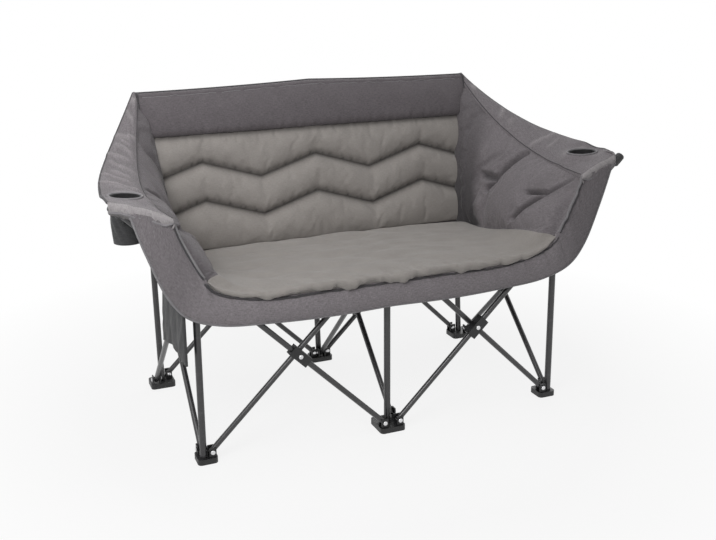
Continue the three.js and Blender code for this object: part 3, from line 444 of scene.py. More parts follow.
def lengths(grid):
    """Distances along the rows and the columns of a grid, which lay the cloth out flat."""
    across = np.linalg.norm(np.diff(grid, axis=1), axis=2).cumsum(1)
    across = np.pad(across, ((0, 0), (1, 0)))
    down = np.linalg.norm(np.diff(grid, axis=0), axis=2).cumsum(0)
    down = np.pad(down, ((1, 0), (0, 0)))
    middle = across.shape[1] // 2
    return np.stack([across - across[:, middle : middle + 1], down], 2)


def closed_sheet(name, front, back):
    """A closed body between two grids of the same size. Its first half of vertices is the front."""
    rows, columns = front.shape[:2]
    count = rows * columns
    faces = grid_faces(rows, columns).tolist()
    faces += grid_faces(rows, columns, count)[:, ::-1].tolist()
    loop = border_loop(rows, columns)
    faces += [[a, b, b + count, a + count] for a, b in zip(loop, np.roll(loop, -1))]
    flat = lengths(front).reshape(-1, 2)
    vertices = np.concatenate([front.reshape(-1, 3), back.reshape(-1, 3)])
    return mesh_object(name, vertices, faces, np.concatenate([flat, flat]))


def normals(grid):
    across = np.cross(np.gradient(grid, axis=1), np.gradient(grid, axis=0))
    return across / np.maximum(np.linalg.norm(across, axis=2, keepdims=True), 1e-9)


def frames_along(path):
    """Two directions square to the path at each of its points, without twist, and the path's own."""
    tangent = np.gradient(path, axis=0)
    tangent /= np.maximum(np.linalg.norm(tangent, axis=1, keepdims=True), 1e-9)
    guide = np.array([0.0, 0.0, 1.0]) if abs(tangent[0, 2]) < 0.9 else np.array([1.0, 0.0, 0.0])
    firsts = []
    for t in tangent:
        guide = guide - t * (guide @ t)
        guide /= max(np.linalg.norm(guide), 1e-9)
        firsts.append(guide)
    first = np.array(firsts)
    return first, np.cross(tangent, first), tangent


CORD_NOSE = 0.6
CORD_TIP = 0.45


def sweep(name, path, radius, sides):
    """A round cord of cloth or thread along a path, with closed round ends."""
    path = np.asarray(path, float)
    first, second, tangent = frames_along(path)
    radii = np.broadcast_to(np.asarray(radius, float), (len(path),)).copy()
    nose = tangent[[0, -1]] * radii[[0, -1], None] * CORD_NOSE
    path = np.concatenate([path[:1] - nose[:1], path, path[-1:] + nose[1:]])
    first, second = (np.concatenate([d[:1], d, d[-1:]]) for d in (first, second))
    radii = np.concatenate([[radii[0] * CORD_TIP], radii, [radii[-1] * CORD_TIP]])
    angle = np.linspace(0, 2 * np.pi, sides, endpoint=False)
    ring = np.cos(angle)[None, :, None] * first[:, None] + np.sin(angle)[None, :, None] * second[:, None]
    vertices = path[:, None] + ring * radii[:, None, None]
    index = np.arange(len(path) * sides).reshape(len(path), sides)
    faces = ring_faces(index) + [index[0].tolist(), index[-1].tolist()]
    along = np.pad(np.linalg.norm(np.diff(path, axis=0), axis=1).cumsum(), (1, 0))
    uv = np.stack(np.broadcast_arrays(along[:, None], angle[None] * radii.max()), 2)
    return mesh_object(name, vertices.reshape(-1, 3), faces, uv.reshape(-1, 2))


def lathe(name, profile, matrix, sides, sharp=35):
    """Turns a closed profile of (radius, height) about the matrix's Z axis."""
    angle = np.linspace(0, 2 * np.pi, sides, endpoint=False)
    ring = np.stack([np.cos(angle), np.sin(angle)], 1)
    vertices = np.concatenate([np.column_stack([ring * r, np.full(sides, z)]) for r, z in profile])
    index = np.arange(len(profile) * sides).reshape(len(profile), sides)
    placed = vertices @ np.array(matrix.to_3x3()).T + np.array(matrix.translation)
    obj = mesh_object(name, placed, ring_faces(np.concatenate([index, index[:1]])), vertices[:, :2])
    with opened(obj.data) as shell:
        bmesh.ops.remove_doubles(shell, verts=shell.verts, dist=1e-6)
        bmesh.ops.dissolve_degenerate(shell, edges=shell.edges, dist=1e-7)
        face_outward(shell)
    obj.data.set_sharp_from_angle(angle=math.radians(sharp))
    return obj


def axis_matrix(place, direction):
    """A frame at a place whose Z runs along direction."""
    turn = Vector(direction).to_track_quat("Z", "Y").to_matrix().to_4x4()
    return Matrix.Translation(Vector(place)) @ turn


def joined(name, objects):
    """One object from several."""
    bpy.ops.object.select_all(action="DESELECT")
    for obj in objects:
        obj.select_set(True)
    bpy.context.view_layer.objects.active = objects[0]
    bpy.ops.object.join()
    objects[0].name = name
    return objects[0]


def points_of(obj):
    place = np.zeros(len(obj.data.vertices) * 3)
    obj.data.vertices.foreach_get("co", place)
    return place.reshape(-1, 3)


def set_points(obj, place):
    obj.data.vertices.foreach_set("co", np.asarray(place, float).ravel())
    obj.data.update()


# Materials

def put(tree, made, inputs):
    """Gives a node's inputs their values, and links those that are sockets."""
    for key, value in inputs.items():
        if isinstance(value, bpy.types.NodeSocket):
            tree.links.new(value, made.inputs[key])
        else:
            made.inputs[key].default_value = value


def shader_node(tree, kind, inputs=None, **settings):
    made = tree.nodes.new("ShaderNode" + kind)
    for key, value in settings.items():
        setattr(made, key, value)
    put(tree, made, inputs or {})
    return made


def math_node(tree, operation, a, b=0.0):
    return shader_node(tree, "Math", {0: a, 1: b}, operation=operation).outputs[0]


def plus(tree, a, b):
    return math_node(tree, "ADD", a, b)


def times(tree, a, b):
    return math_node(tree, "MULTIPLY", a, b)


def noise(tree, vector, size, detail=2.0):
    """Noise whose spots have the given size, in metres along each axis."""
    spread = shader_node(tree, "Mapping", {"Vector": vector, "Scale": tuple(1 / s for s in size)})
    inputs = {"Vector": spread.outputs[0], "Scale": 1.0, "Detail": detail}
    return shader_node(tree, "TexNoise", inputs).outputs["Fac"]


MIX_FIRST, MIX_SECOND, MIX_COLOUR = 6, 7, 2


def blend_colours(tree, share, first, second):
    inputs = {0: share, MIX_FIRST: first, MIX_SECOND: second}
    return shader_node(tree, "Mix", inputs, data_type="RGBA").outputs[MIX_COLOUR]


def mapped(tree, value, source=(0.0, 1.0), target=(0.0, 1.0)):
    """Carries a value from one range over to another, and stops it at both ends."""
    ranges = dict(zip(("From Min", "From Max", "To Min", "To Max"), (*source, *target)))
    return shader_node(tree, "MapRange", {"Value": value, **ranges}).outputs[0]


def bump(tree, height, strength, distance, **inputs):
    inputs.update(Height=height, Strength=strength, Distance=distance)
    return shader_node(tree, "Bump", inputs).outputs[0]


def new_tree(owner, kind):
    """The emptied node tree of a material or a world, and its output node."""
    owner.use_nodes = True
    owner.node_tree.nodes.clear()
    return owner.node_tree, owner.node_tree.nodes.new("ShaderNodeOutput" + kind)


def new_material(name):
    made = bpy.data.materials.new(name)
    tree, out = new_tree(made, "Material")
    shader = shader_node(tree, "BsdfPrincipled")
    put(tree, out, {"Surface": shader.outputs[0]})
    return made, tree, shader


def shade(colour, factor):
    return (*(min(1.0, c * factor) for c in colour), 1.0)


def weave_height(tree, uv, pitch):
    """A plain weave: threads along and across that pass over each other in turn."""
    parts = shader_node(tree, "SeparateXYZ", {"Vector": uv})
    waves = [math_node(tree, "SINE", times(tree, parts.outputs[axis], math.pi / pitch)) for axis in "XY"]
    over = math_node(tree, "GREATER_THAN", times(tree, *waves), 0.0)
    under = math_node(tree, "SUBTRACT", 1.0, over)
    warp, weft = (math_node(tree, "ABSOLUTE", wave) for wave in waves)
    return plus(tree, times(tree, warp, over), times(tree, weft, under))


YARN = (0.0016, 0.009)
SLUB = (0.018, 0.0032)
PATCH = 0.06


def fabric(name, colour, fleck, second=None, pitch=0.0011, rough=0.88, sheen=0.18, crease=0.0007, spots=0.03):
    """Woven polyester: flecked threads, a weave, creases, and a second tone where a piece's points ask for
    it, which is painted shade when dark and painted light when pale.
    """
    made, tree, shader = new_material(name)
    uv = shader_node(tree, "UVMap", uv_map="cloth").outputs[0]
    warp, weft = (noise(tree, uv, (*size, 1)) for size in (YARN, YARN[::-1]))
    threads = times(tree, plus(tree, warp, weft), 0.38)
    threads = plus(tree, threads, times(tree, noise(tree, uv, (*SLUB, 1), 3), 0.24))
    heather = mapped(tree, threads, (0.38, 0.62))
    patches = mapped(tree, noise(tree, uv, (PATCH, PATCH, 1), 4), (0.3, 0.7))
    tones = [
        blend_colours(tree, patches, shade(colour, base * low), shade(colour, base * 1.05))
        for base, low in ((1 - fleck, 0.93), (1 + fleck, 0.95))
    ]
    shown = blend_colours(tree, heather, *tones)
    if second:
        share = shader_node(tree, "Attribute", attribute_name="second").outputs["Fac"]
        other = blend_colours(tree, heather, shade(second, 1 - fleck), shade(second, 1 + fleck))
        shown = blend_colours(tree, share, shown, other)
    soft = bump(tree, noise(tree, uv, (spots, spots, 1), 5), 1.0, crease * 3)
    fine = plus(tree, weave_height(tree, uv, pitch), times(tree, heather, 0.8))
    normal = bump(tree, fine, 0.5, pitch * 0.35, Normal=soft)
    gloss = mapped(tree, heather, target=(rough + 0.06, rough - 0.06))
    put(tree, shader, {"Base Color": shown, "Normal": normal, "Roughness": gloss})
    shader.inputs["Sheen Weight"].default_value = sheen
    shader.inputs["Sheen Roughness"].default_value = 0.45
    shader.inputs["Specular IOR Level"].default_value = 0.3
    return made


def set_painted_light_and_shade(obj, share):
    """Says how far each point of a piece takes its cloth's second tone, its painted shade where the tone is
    dark and its painted light where it is pale, from 0 to 1.
    """
    layer = obj.data.attributes.new("second", "FLOAT", "POINT")
    layer.data.foreach_set("value", np.clip(share, 0, 1).ravel())


def webbing(name, colour, rib=0.0022):
    """Woven strap or thread: ribs across it and a grain of threads."""
    made, tree, shader = new_material(name)
    uv = shader_node(tree, "UVMap", uv_map="cloth").outputs[0]
    parts = shader_node(tree, "SeparateXYZ", {"Vector": uv})
    wave = math_node(tree, "SINE", times(tree, parts.outputs["X"], 2 * math.pi / rib))
    grain = noise(tree, uv, (0.001, 0.004, 1))
    shown = blend_colours(tree, grain, shade(colour, 0.7), shade(colour, 1.3))
    normal = bump(tree, plus(tree, wave, grain), 0.6, 0.0005)
    put(tree, shader, {"Base Color": shown, "Normal": normal, "Roughness": 0.8})
    return made


def stained(name, colour, spots, tones, gloss):
    """A hard surface whose spots, by size, detail and reach, change its tone and its gloss."""
    made, tree, shader = new_material(name)
    place = shader_node(tree, "TexCoord").outputs["Object"]
    size, detail, reach = spots
    share = mapped(tree, noise(tree, place, size, detail), reach)
    shown = blend_colours(tree, share, *(shade(colour, tone) for tone in tones))
    put(tree, shader, {"Base Color": shown, "Roughness": mapped(tree, share, target=gloss)})
    return made, tree, shader, place


def moulded(name, colour, grain=0.0009):
    """Black moulded plastic: a fine spark-eroded grain with rubbed and dusty patches."""
    dust = ((0.02,) * 3, 4, (0.45, 0.75))
    made, tree, shader, place = stained(name, colour, dust, (0.8, 1.9), (0.42, 0.6))
    height = noise(tree, place, (grain,) * 3, 3)
    put(tree, shader, {"Normal": bump(tree, height, 0.35, grain * 0.4)})
    return made


def coated_steel(name, colour, peel=0.0025):
    """Powder-coated tube: a faint orange peel and light scuffs along it."""
    scuffs = ((0.03, 0.03, 0.012), 6, (0.55, 0.8))
    made, tree, shader, place = stained(name, colour, scuffs, (0.92, 1.45), (0.3, 0.42))
    put(tree, shader, {"Normal": bump(tree, noise(tree, place, (peel,) * 3), 0.12, 0.0004)})
    shader.inputs["Metallic"].default_value = 0.35
    shader.inputs["Coat Weight"].default_value = 0.25
    shader.inputs["Coat Roughness"].default_value = 0.2
    return made


def bare_metal(name, colour):
    """Zinc-plated rivet: brushed and a little uneven."""
    made, _, shader, _ = stained(name, colour, ((0.003,) * 3, 4, (0.0, 1.0)), (0.75, 1.15), (0.22, 0.4))
    shader.inputs["Metallic"].default_value = 1.0
    return made


SHELL = (0.208, 0.19, 0.2)
PAD = (0.323, 0.3, 0.282)
BLACK = (0.014, 0.014, 0.015)

shell_cloth = fabric("shell_cloth", SHELL, 0.26)
headrest_cloth = fabric("headrest_cloth", (0.135, 0.121, 0.129), 0.2, crease=0.0004)
# The pad cloth's dark second tone is painted shade, which the back pad takes along its seams and under the
# headrest
pad_cloth = fabric("pad_cloth", PAD, 0.07, (0.07, 0.064, 0.06), 0.0008, 0.82, 0.25, 0.0006, 0.04)
# The arm pads' cloth: its dark second tone is painted shade
arm_cloth = fabric("arm_cloth", SHELL, 0.22, (0.06, 0.056, 0.059))
# The arm tops' cloth: its pale second tone is a painted highlight on the crests of their ridges
crest_highlight_cloth = fabric("crest_highlight_cloth", SHELL, 0.24, (0.4, 0.375, 0.38))
# The front's cloth: a darkened shell colour, and a paler second tone that is painted light over the middle of
# the front
front_cloth = fabric("front_cloth", shade(SHELL, 0.94)[:3], 0.26, shade(SHELL, 1.25)[:3])
pocket_cloth = fabric("pocket_cloth", (0.06, 0.06, 0.062), 0.15, pitch=0.0016)
piping_cloth = fabric("piping_cloth", (0.25, 0.24, 0.25), 0.1, pitch=0.0007)
hem_cloth = fabric("hem_cloth", (0.34, 0.32, 0.325), 0.2)
edge_cloth = fabric("edge_cloth", (0.07, 0.066, 0.07), 0.1, pitch=0.0007)
cup_cloth = fabric("cup_cloth", BLACK, 0.2, rough=0.6, crease=0.0003)
# The back's stitching thread, made dark so that it also stands as painted shade in the sewn grooves
groove_shade_thread = webbing("groove_shade_thread", (0.05, 0.046, 0.045), 0.001)
pale_thread = webbing("pale_thread", (0.3, 0.29, 0.3), 0.001)
strap_web = webbing("strap_web", (0.03, 0.03, 0.031))
black_plastic = moulded("black_plastic", BLACK)
steel_paint = coated_steel("steel_paint", (0.055, 0.054, 0.056))
rivet_zinc = bare_metal("rivet_zinc", (0.72, 0.72, 0.73))


def attach(obj, look, body, replaces=(), fold=None):
    """Gives a finished piece its material and its body, hides the parts that it replaces, and gives it a mesh
    of its own where a fold is given.
    """
    if not obj.data.materials:
        obj.data.materials.append(look)
    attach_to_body(obj, body)
    if replaces:
        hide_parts(*replaces)
    if fold:
        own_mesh(obj)
    return obj


def trim(name, path, radius, look, body, fold, sides=CORD_SIDES):
    """A piping, hem or thread along a path, which rides with the body of the cloth that it edges."""
    return attach(sweep(name, path, radius, sides), look, body, (), fold)


def subdivide(obj):
    made = obj.modifiers.new("round", "SUBSURF")
    made.levels = 1
    made.render_levels = 1


# Cloth: padded pieces are blown up together, held at their seams

FRAMES = 20
CLOTH_SETTINGS = {
    "quality": 6,
    "mass": 0.15,
    "tension_stiffness": 15,
    "compression_stiffness": 8,
    "shear_stiffness": 5,
    "bending_stiffness": 0.15,
    "use_pressure": True,
    "vertex_group_mass": "held",
}
swelling = []


def swell(obj, front_mask, pressure, slack, cap):
    """Marks a closed sheet to be blown up as cloth, at most by cap, with some slack that puckers.
    The masked points of its front and all of its back are held."""
    held = np.concatenate([front_mask.ravel(), np.ones(front_mask.size, bool)])
    group = obj.vertex_groups.new(name="held")
    group.add(np.flatnonzero(held).tolist(), 1.0, "REPLACE")
    swelling.append((obj, pressure, slack, cap))


def run_swelling():
    """Runs the cloth of all marked pieces side by side and keeps where they end."""
    scene = bpy.context.scene
    scene.frame_set(1)
    for obj, pressure, slack, _ in swelling:
        cloth = obj.modifiers.new("cloth", "CLOTH")
        cloth.point_cache.frame_start = 1
        cloth.point_cache.frame_end = FRAMES
        for key, value in CLOTH_SETTINGS.items():
            setattr(cloth.settings, key, value)
        cloth.settings.uniform_pressure_force = pressure
        cloth.settings.shrink_min = -slack
        cloth.settings.effector_weights.gravity = 0
        cloth.collision_settings.use_collision = False
    for step in range(1, FRAMES + 1):
        scene.frame_set(step)
    depsgraph = bpy.context.evaluated_depsgraph_get()
    for obj, _, _, cap in swelling:
        start = points_of(obj)
        move = points_of(obj.evaluated_get(depsgraph)) - start
        reach = np.linalg.norm(move, axis=1, keepdims=True)
        set_points(obj, start + move * np.minimum(1, cap / np.maximum(reach, 1e-9)))
    for obj, *_ in swelling:
        obj.modifiers.remove(obj.modifiers["cloth"])
    scene.frame_set(1)


def border_mask(rows, columns):
    mask = np.zeros((rows, columns), bool)
    mask[[0, -1], :] = True
    mask[:, [0, -1]] = True
    return mask


# Seat

def seat_flare(y):
    """How far the seat's front corners have reached out, in front of the hubs, from 0 to 1."""
    return smooth((SEAT_FLARE_Y - y) / SEAT_FLARE_LENGTH)


def seat_half(y):
    """Half the seat's width, which grows to the rear and at the front corners."""
    rear = smooth((y - SEAT_SPREAD_Y) / SEAT_SPREAD_LENGTH)
    return SEAT_HALF + SEAT_SPREAD * rear + SEAT_FLARE * seat_flare(y)


def seat_edge(x, y):
    along = (y - SEAT_FRONT) / (SEAT_REAR - SEAT_FRONT)
    rise = smooth(1 - (y - SEAT_FRONT) / SEAT_RISE_LENGTH)
    corner = lerp(SEAT_CORNER_RISE, SEAT_FRONT_RISE, seat_flare(y) ** 3)
    out = np.minimum(1, np.abs(x) / seat_half(y)) ** SEAT_CORNER_POWER
    return lerp(SEAT_FRONT_Z, SEAT_REAR_Z, along) + corner * out * rise


def sling_top(x, y):
    half = seat_half(y)
    u = np.clip((x + half) / (2 * half), 0, 1)
    v = np.clip((y - SEAT_FRONT) / (SEAT_REAR - SEAT_FRONT), 0, 1)
    return seat_edge(x, y) - PAD_EDGE - SEAT_SAG * puff(u, v)


def seat_cushion():
    """The seat pad, whose front rolls over the apron in a gathered lip and whose rear runs under the back."""
    columns, rows = SEAT_GRID
    depths = np.append(SEAT_REAR + SEAT_TUCK, np.linspace(SEAT_REAR, SEAT_FRONT - LIP_OUT, rows))
    u, y = np.meshgrid(np.linspace(0, 1, columns), depths)
    x = (2 * u - 1) * seat_half(y)
    side = np.clip(np.sin(np.pi * u), 0, 1) ** 0.35
    rear = np.clip((SEAT_REAR - y) / REAR_CROWN_LENGTH, 0, 1) ** 0.5
    front = smooth((FRONT_CROWN_LENGTH - (y - SEAT_FRONT)) / FRONT_CROWN_LENGTH)
    crown = side * rear * lerp(SEAT_CROWN, FRONT_CROWN, front)
    top = np.stack([x, y, seat_edge(x, y) + crown], 2)
    edge_x, edge_y, edge_z = top[-1].T
    waves = LIP_SCALLOP * ripple(edge_x, 0.12, 3) + LIP_GATHER * ripple(edge_x, 0.036, 4)
    radius = side[-1] * (LIP_R + side[-1] * waves)
    angle = np.linspace(0, LIP_TURN, LIP_ROWS + 1)[1:, None]
    lip_y = edge_y - radius * np.sin(angle)
    lip_z = edge_z - radius * (1 - np.cos(angle))
    face = np.concatenate([top, np.stack([np.broadcast_to(edge_x, lip_y.shape), lip_y, lip_z], 2)])
    under = face.copy()
    under[:, :, 1] = np.maximum(under[:, :, 1], SEAT_FRONT - LIP_OUT / 2)
    under[:, :, 2] = sling_top(under[:, :, 0], np.maximum(under[:, :, 1], SEAT_FRONT)) + TOUCH
    under[-LIP_ROWS:, :, 2] += LIP_THICK
    obj = closed_sheet("seat_cushion", face, under)
    swell(obj, border_mask(*face.shape[:2]), *SEAT_SWELL)
    return obj


def crease_seat(obj):
    """Lays soft lengthwise folds and fine gathers into the swollen seat."""
    place = points_of(obj)
    x, y, z = place[: len(place) // 2].T
    inside = np.clip((SEAT_HALF - np.abs(x)) / 0.12, 0, 1)
    wander = 0.014 * np.sin(np.pi * x / SEAT_HALF) + 0.006 * ripple(x, 0.31, 5)
    for share, depth, half in SEAT_FOLD_LINES:
        line = lerp(SEAT_FRONT, SEAT_REAR, share) + wander
        z -= depth * inside * bell(y - line, half) * (0.65 + 0.35 * ripple(x, 0.42, 8))
    near_front = bell(y - SEAT_FRONT, 0.035)
    z += 0.0022 * near_front * inside * ripple(x + 0.25 * y, 0.045, 13)
    y += 0.002 * near_front * ripple(x, 0.034, 17)
    z += 0.0022 * inside * ripple(x + 1.6 * y, 0.22, 19)
    z += 0.0006 * inside * ripple(y + 0.12 * x, 0.05, 21)
    set_points(obj, place)


def seat_sling():
    u, y = spread_grid(SLING_GRID, (-1, 1), (SEAT_FRONT, SEAT_REAR))
    x = u * seat_half(y)
    faces = [np.stack([x, y, sling_top(x, y) - drop], 2) for drop in (0.0, CLOTH)]
    sag = 0.0012 * ripple(x + 0.4 * y, 0.09, 23)
    faces[1][1:-1, 1:-1, 2] -= np.abs(sag[1:-1, 1:-1])
    return closed_sheet("seat_underside", *faces)


def seat_strap():
    low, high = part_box("seat_support_strap")
    x, y = spread_grid(STRAP_GRID, (low.x, high.x), (low.y, high.y))
    top = sling_top(x, y) - CLOTH - STRAP_GAP
    return closed_sheet("seat_webbing", *(np.stack([x, y, top - drop], 2) for drop in (0.0, STRAP_T)))


# Back

def back_y(z):
    return BACK_LOW_Y + BACK_SLOPE * (z - BACK_LOW_Z)


def back_half(z):
    return lerp(BACK_LOW_HALF, BACK_TOP_HALF, smooth((z - BACK_LOW_Z) / (BACK_TOP_Z - BACK_LOW_Z)))


def zigzag(x):
    phase = np.abs(x / ZIGZAG_PITCH - np.round(x / ZIGZAG_PITCH))
    return ZIGZAG_SWING * (1 - 4 * phase)


def back_rows(columns):
    """The back pad's rows, which follow its lower edge, the two sewn zigzags and its upper edge."""
    u = np.linspace(-1, 1, columns)
    levels = [np.full(columns, BACK_LOW_Z)]
    for line in ZIGZAG_LINES:
        level = np.full(columns, line)
        for _ in range(6):
            level = line + zigzag(u * (back_half(level) - BACK_INSET))
        levels.append(level)
    levels.append(np.full(columns, BACK_SPLIT_Z + BACK_LAP))
    rows, seams = [], []
    for low, high, count in zip(levels, levels[1:], BACK_STRETCHES):
        seams.append(len(rows))
        rows += [lerp(low, high, k / count) for k in range(count)]
    rows.append(levels[-1])
    return u, np.array(rows), seams[1:]


def back_cushion():
    """The back pad, sewn through along two zigzags and blown up between them, and its seams' paths."""
    u, z, seams = back_rows(BACK_COLUMNS)
    x = u * (back_half(z) - BACK_INSET)
    stretch = np.zeros_like(z)
    ends = [0, *seams, len(z) - 1]
    for low, high in zip(ends, ends[1:]):
        stretch[low : high + 1] = np.linspace(0, 1, high - low + 1)[:, None]
    lift = puff(0.5, stretch) * smooth((1 - np.abs(u)) / BACK_END)
    front = np.stack([x, back_y(z) + SEAM_DEPTH - BACK_PUFF * lift, z], 2)
    obj = closed_sheet("back_cushion", front, np.stack([x, back_y(z) + BACK_PAD, z], 2))
    mask = border_mask(*z.shape)
    mask[seams] = True
    swell(obj, mask, *BACK_SWELL)
    return obj, [front[row] + np.array([0, SEAM_DRAW - THREAD_SHOW, 0]) for row in seams]


def sew_zigzags(obj):
    """Draws the swollen back pad in along its sewn lines, with small slanted gathers above them, and paints
    shade in its second tone: along the seams, in short pucker streaks above them and under the headrest.
    """
    place = points_of(obj)
    x, y, z = place[: len(place) // 2].T
    # Painted shade: under the headrest, along each seam, and in pucker streaks above it
    shadow = 0.7 * bell(z - BACK_SPLIT_Z, 0.009)
    for number, line in enumerate(ZIGZAG_LINES):
        above = z - line - zigzag(x)
        gathers = bell(above - 0.016, 0.015) * np.maximum(0, ripple(x + 0.6 * z, 0.03, 37 + number))
        y += SEAM_DRAW * bell(above, SEAM_HALF) + 0.0034 * gathers
        pucker_shade = np.maximum(0, ripple(x + 0.5 * z, 0.021, 33 + number)) * bell(above - 0.009, 0.011)
        shadow = shadow + 0.75 * bell(above, 0.0055) + 0.3 * bell(above - 0.004, 0.012) + 0.35 * pucker_shade
    y += 0.0012 * bell(z - BACK_SPLIT_Z + 0.01, 0.02) * ripple(x, 0.026, 39)
    set_points(obj, place)
    set_painted_light_and_shade(obj, np.concatenate([shadow, np.zeros_like(shadow)]))


def back_panel():
    """The cloth behind the back, with the slack of a panel held at its edges."""
    u, z = spread_grid(PANEL_GRID, (-1, 1), (BACK_LOW_Z - PAD_EDGE, BACK_SPLIT_Z + PANEL_LAP))
    x = u * back_half(z)
    slack = np.cos(u * np.pi / 2) * np.sin(np.pi * (z - z.min()) / (z.max() - z.min()))
    wave = np.maximum(0, 0.0018 * slack * ripple(x + 0.35 * z, 0.16, 31))
    inner = np.stack([x, back_y(z) + BACK_PAD + TOUCH, z], 2)
    outer = np.stack([x, back_y(z) + BACK_PAD + CLOTH + wave + PANEL_SLACK * slack, z], 2)
    return closed_sheet("back_panel", inner, outer)


def headrest_top(x):
    return BACK_TOP_Z + BACK_PEAK * (1 - np.abs(x) / BACK_TOP_HALF) ** 2


def headrest_sections(x):
    """Outer and inner points up the front, over the post tops and down behind them, at a place across."""
    behind = REAR_Y + (BACK_TOP_Z - POST_TOP_DROP) * math.tan(REAR_LEAN) + POST_R
    top = headrest_top(x)
    crown = BACK_CROWN * np.clip((BACK_TOP_HALF - abs(x)) / 0.05, 0, 1) ** 0.5
    low, high = back_y(BACK_SPLIT_Z), back_y(BACK_TOP_Z)
    outer = [
        (low + 0.008, BACK_SPLIT_Z + 0.004),
        (low - 0.3 * crown, lerp(BACK_SPLIT_Z, top, 0.02)),
        (low - 1.15 * crown, lerp(BACK_SPLIT_Z, top, 0.11)),
        (lerp(low, high, 0.3) - 1.75 * crown, lerp(BACK_SPLIT_Z, top, 0.3)),
        (lerp(low, high, 0.64) - 1.25 * crown, lerp(BACK_SPLIT_Z, top, 0.64)),
        (high - 0.4 * crown, top - 0.018),
        (high + 0.006, top - 0.003),
        (high + 0.02, top),
        (behind, top - 0.001),
        (behind + 0.006, top - 0.008),
        (behind + 0.006, top - 0.035),
        (behind + 0.005, top - 0.062),
    ]
    inner = [
        (low + BACK_PAD, BACK_SPLIT_Z + 0.001),
        (low + BACK_PAD, lerp(BACK_SPLIT_Z, top, 0.05)),
        (low + BACK_PAD, lerp(BACK_SPLIT_Z, top, 0.15)),
        (lerp(low, high, 0.32) + BACK_PAD, lerp(BACK_SPLIT_Z, top, 0.32)),
        (lerp(low, high, 0.68) + BACK_PAD, lerp(BACK_SPLIT_Z, top, 0.68)),
        (high + 0.012, top - 0.018),
        (high + 0.016, top - 0.008),
        (high + 0.024, top - 0.005),
        (behind - 0.003, top - 0.006),
        (behind + 0.0025, top - 0.01),
        (behind + 0.0025, top - 0.035),
        (behind + 0.002, top - 0.062),
    ]
    return outer, inner


def headrest():
    """The band over the top of the back, with a rolled hem and puckers, and the lines of its trims."""
    columns, rows = HEADREST_GRID
    shares = np.linspace(0, 1, rows)
    u = np.linspace(-1, 1, columns)
    front, back = np.zeros((2, rows, columns, 3))
    for column, share in enumerate(u):
        for grid, points in zip((front, back), headrest_sections(share * BACK_TOP_HALF)):
            section = catmull(points, shares)
            half = back_half(np.minimum(section[:, 1], BACK_TOP_Z))
            grid[:, column] = np.column_stack([share * half, section])
    top_row = round(HEADREST_TOP_POINT / (len(points) - 1) * (rows - 1))
    x, z = front[:, :, 0], front[:, :, 2]
    facing = front[:, :, 1] < back_y(BACK_TOP_Z) + 0.004
    inside = np.clip((1 - np.abs(u)) / 0.03, 0, 1)[None]
    low_pucker = bell(z - BACK_SPLIT_Z - 0.014, 0.018) * ripple(x, 0.024, 41)
    soft = bell(z - 0.875, 0.05) * ripple(x + 0.7 * z, 0.21, 43)
    hem = bell(z - headrest_top(x) + HEM_DROP, 0.0035)
    hem_wave = bell(z - BACK_TOP_Z + 0.004, 0.02) * ripple(x, 0.045, 47)
    shift = 0.0022 * low_pucker + 0.0026 * soft + 0.0026 * hem + 0.0014 * hem_wave
    front[:, :, 1] += facing * inside * shift
    obj = closed_sheet("headrest_cover", front, back)
    line = headrest_top(u * BACK_TOP_HALF) - HEM_DROP
    nearest = np.argmin(np.abs(z[:top_row] - line), 0)
    path = front[nearest, np.arange(columns)]
    path[:, 2] = line + 0.0012 * ripple(path[:, 0], 0.06, 53)
    path[:, 1] -= THREAD_SHOW
    ends = [np.concatenate([front[:1, column], front[1:top_row:2, column]]) for column in (0, -1)]
    return obj, path[2:-2], front[top_row], ends


# Front: apron and bands

def band_edges():
    """Inner and outer edge of the front's right half, from the middle out and up to the arm."""
    half = seat_half(APRON_Y)
    foot = seat_edge(half, APRON_Y)
    inner = [(x, seat_edge(x, APRON_Y) + EDGE_GAP) for x in np.array([0, 0.36, 0.71, 0.955]) * half]
    for share in (0.06, 0.37, 0.7, 1.0):
        out = 1 - (1 - share) ** BAND_CURL
        inner.append((lerp(half, ARM_SEAM_FRONT.x, out), lerp(foot, ARM_SEAM_FRONT.z, share)))
    low = SEAT_FRONT_Z + EDGE_GAP - APRON_DROP
    corner = np.array([BAY + BAND_CORNER_OUT, HUB_PIVOT_Z - BAND_CORNER_DROP])
    end = np.array([ARM_EDGE_FRONT.x - BAND_END_IN, ARM_EDGE_FRONT.z - BAND_END_DROP])
    outer = [(0, low), (BAY / 3, low - APRON_BULGE / 2)]
    to_corner = ((0.56, 0.02), (0.79, 0.15), (0.925, 0.46))
    outer += [(corner[0] * out, lerp(low, corner[1], up)) for out, up in to_corner]
    outer += [corner, lerp(corner, end, np.array([0.58, 0.52])), end]
    return inner, outer


BAND_EDGES = band_edges()


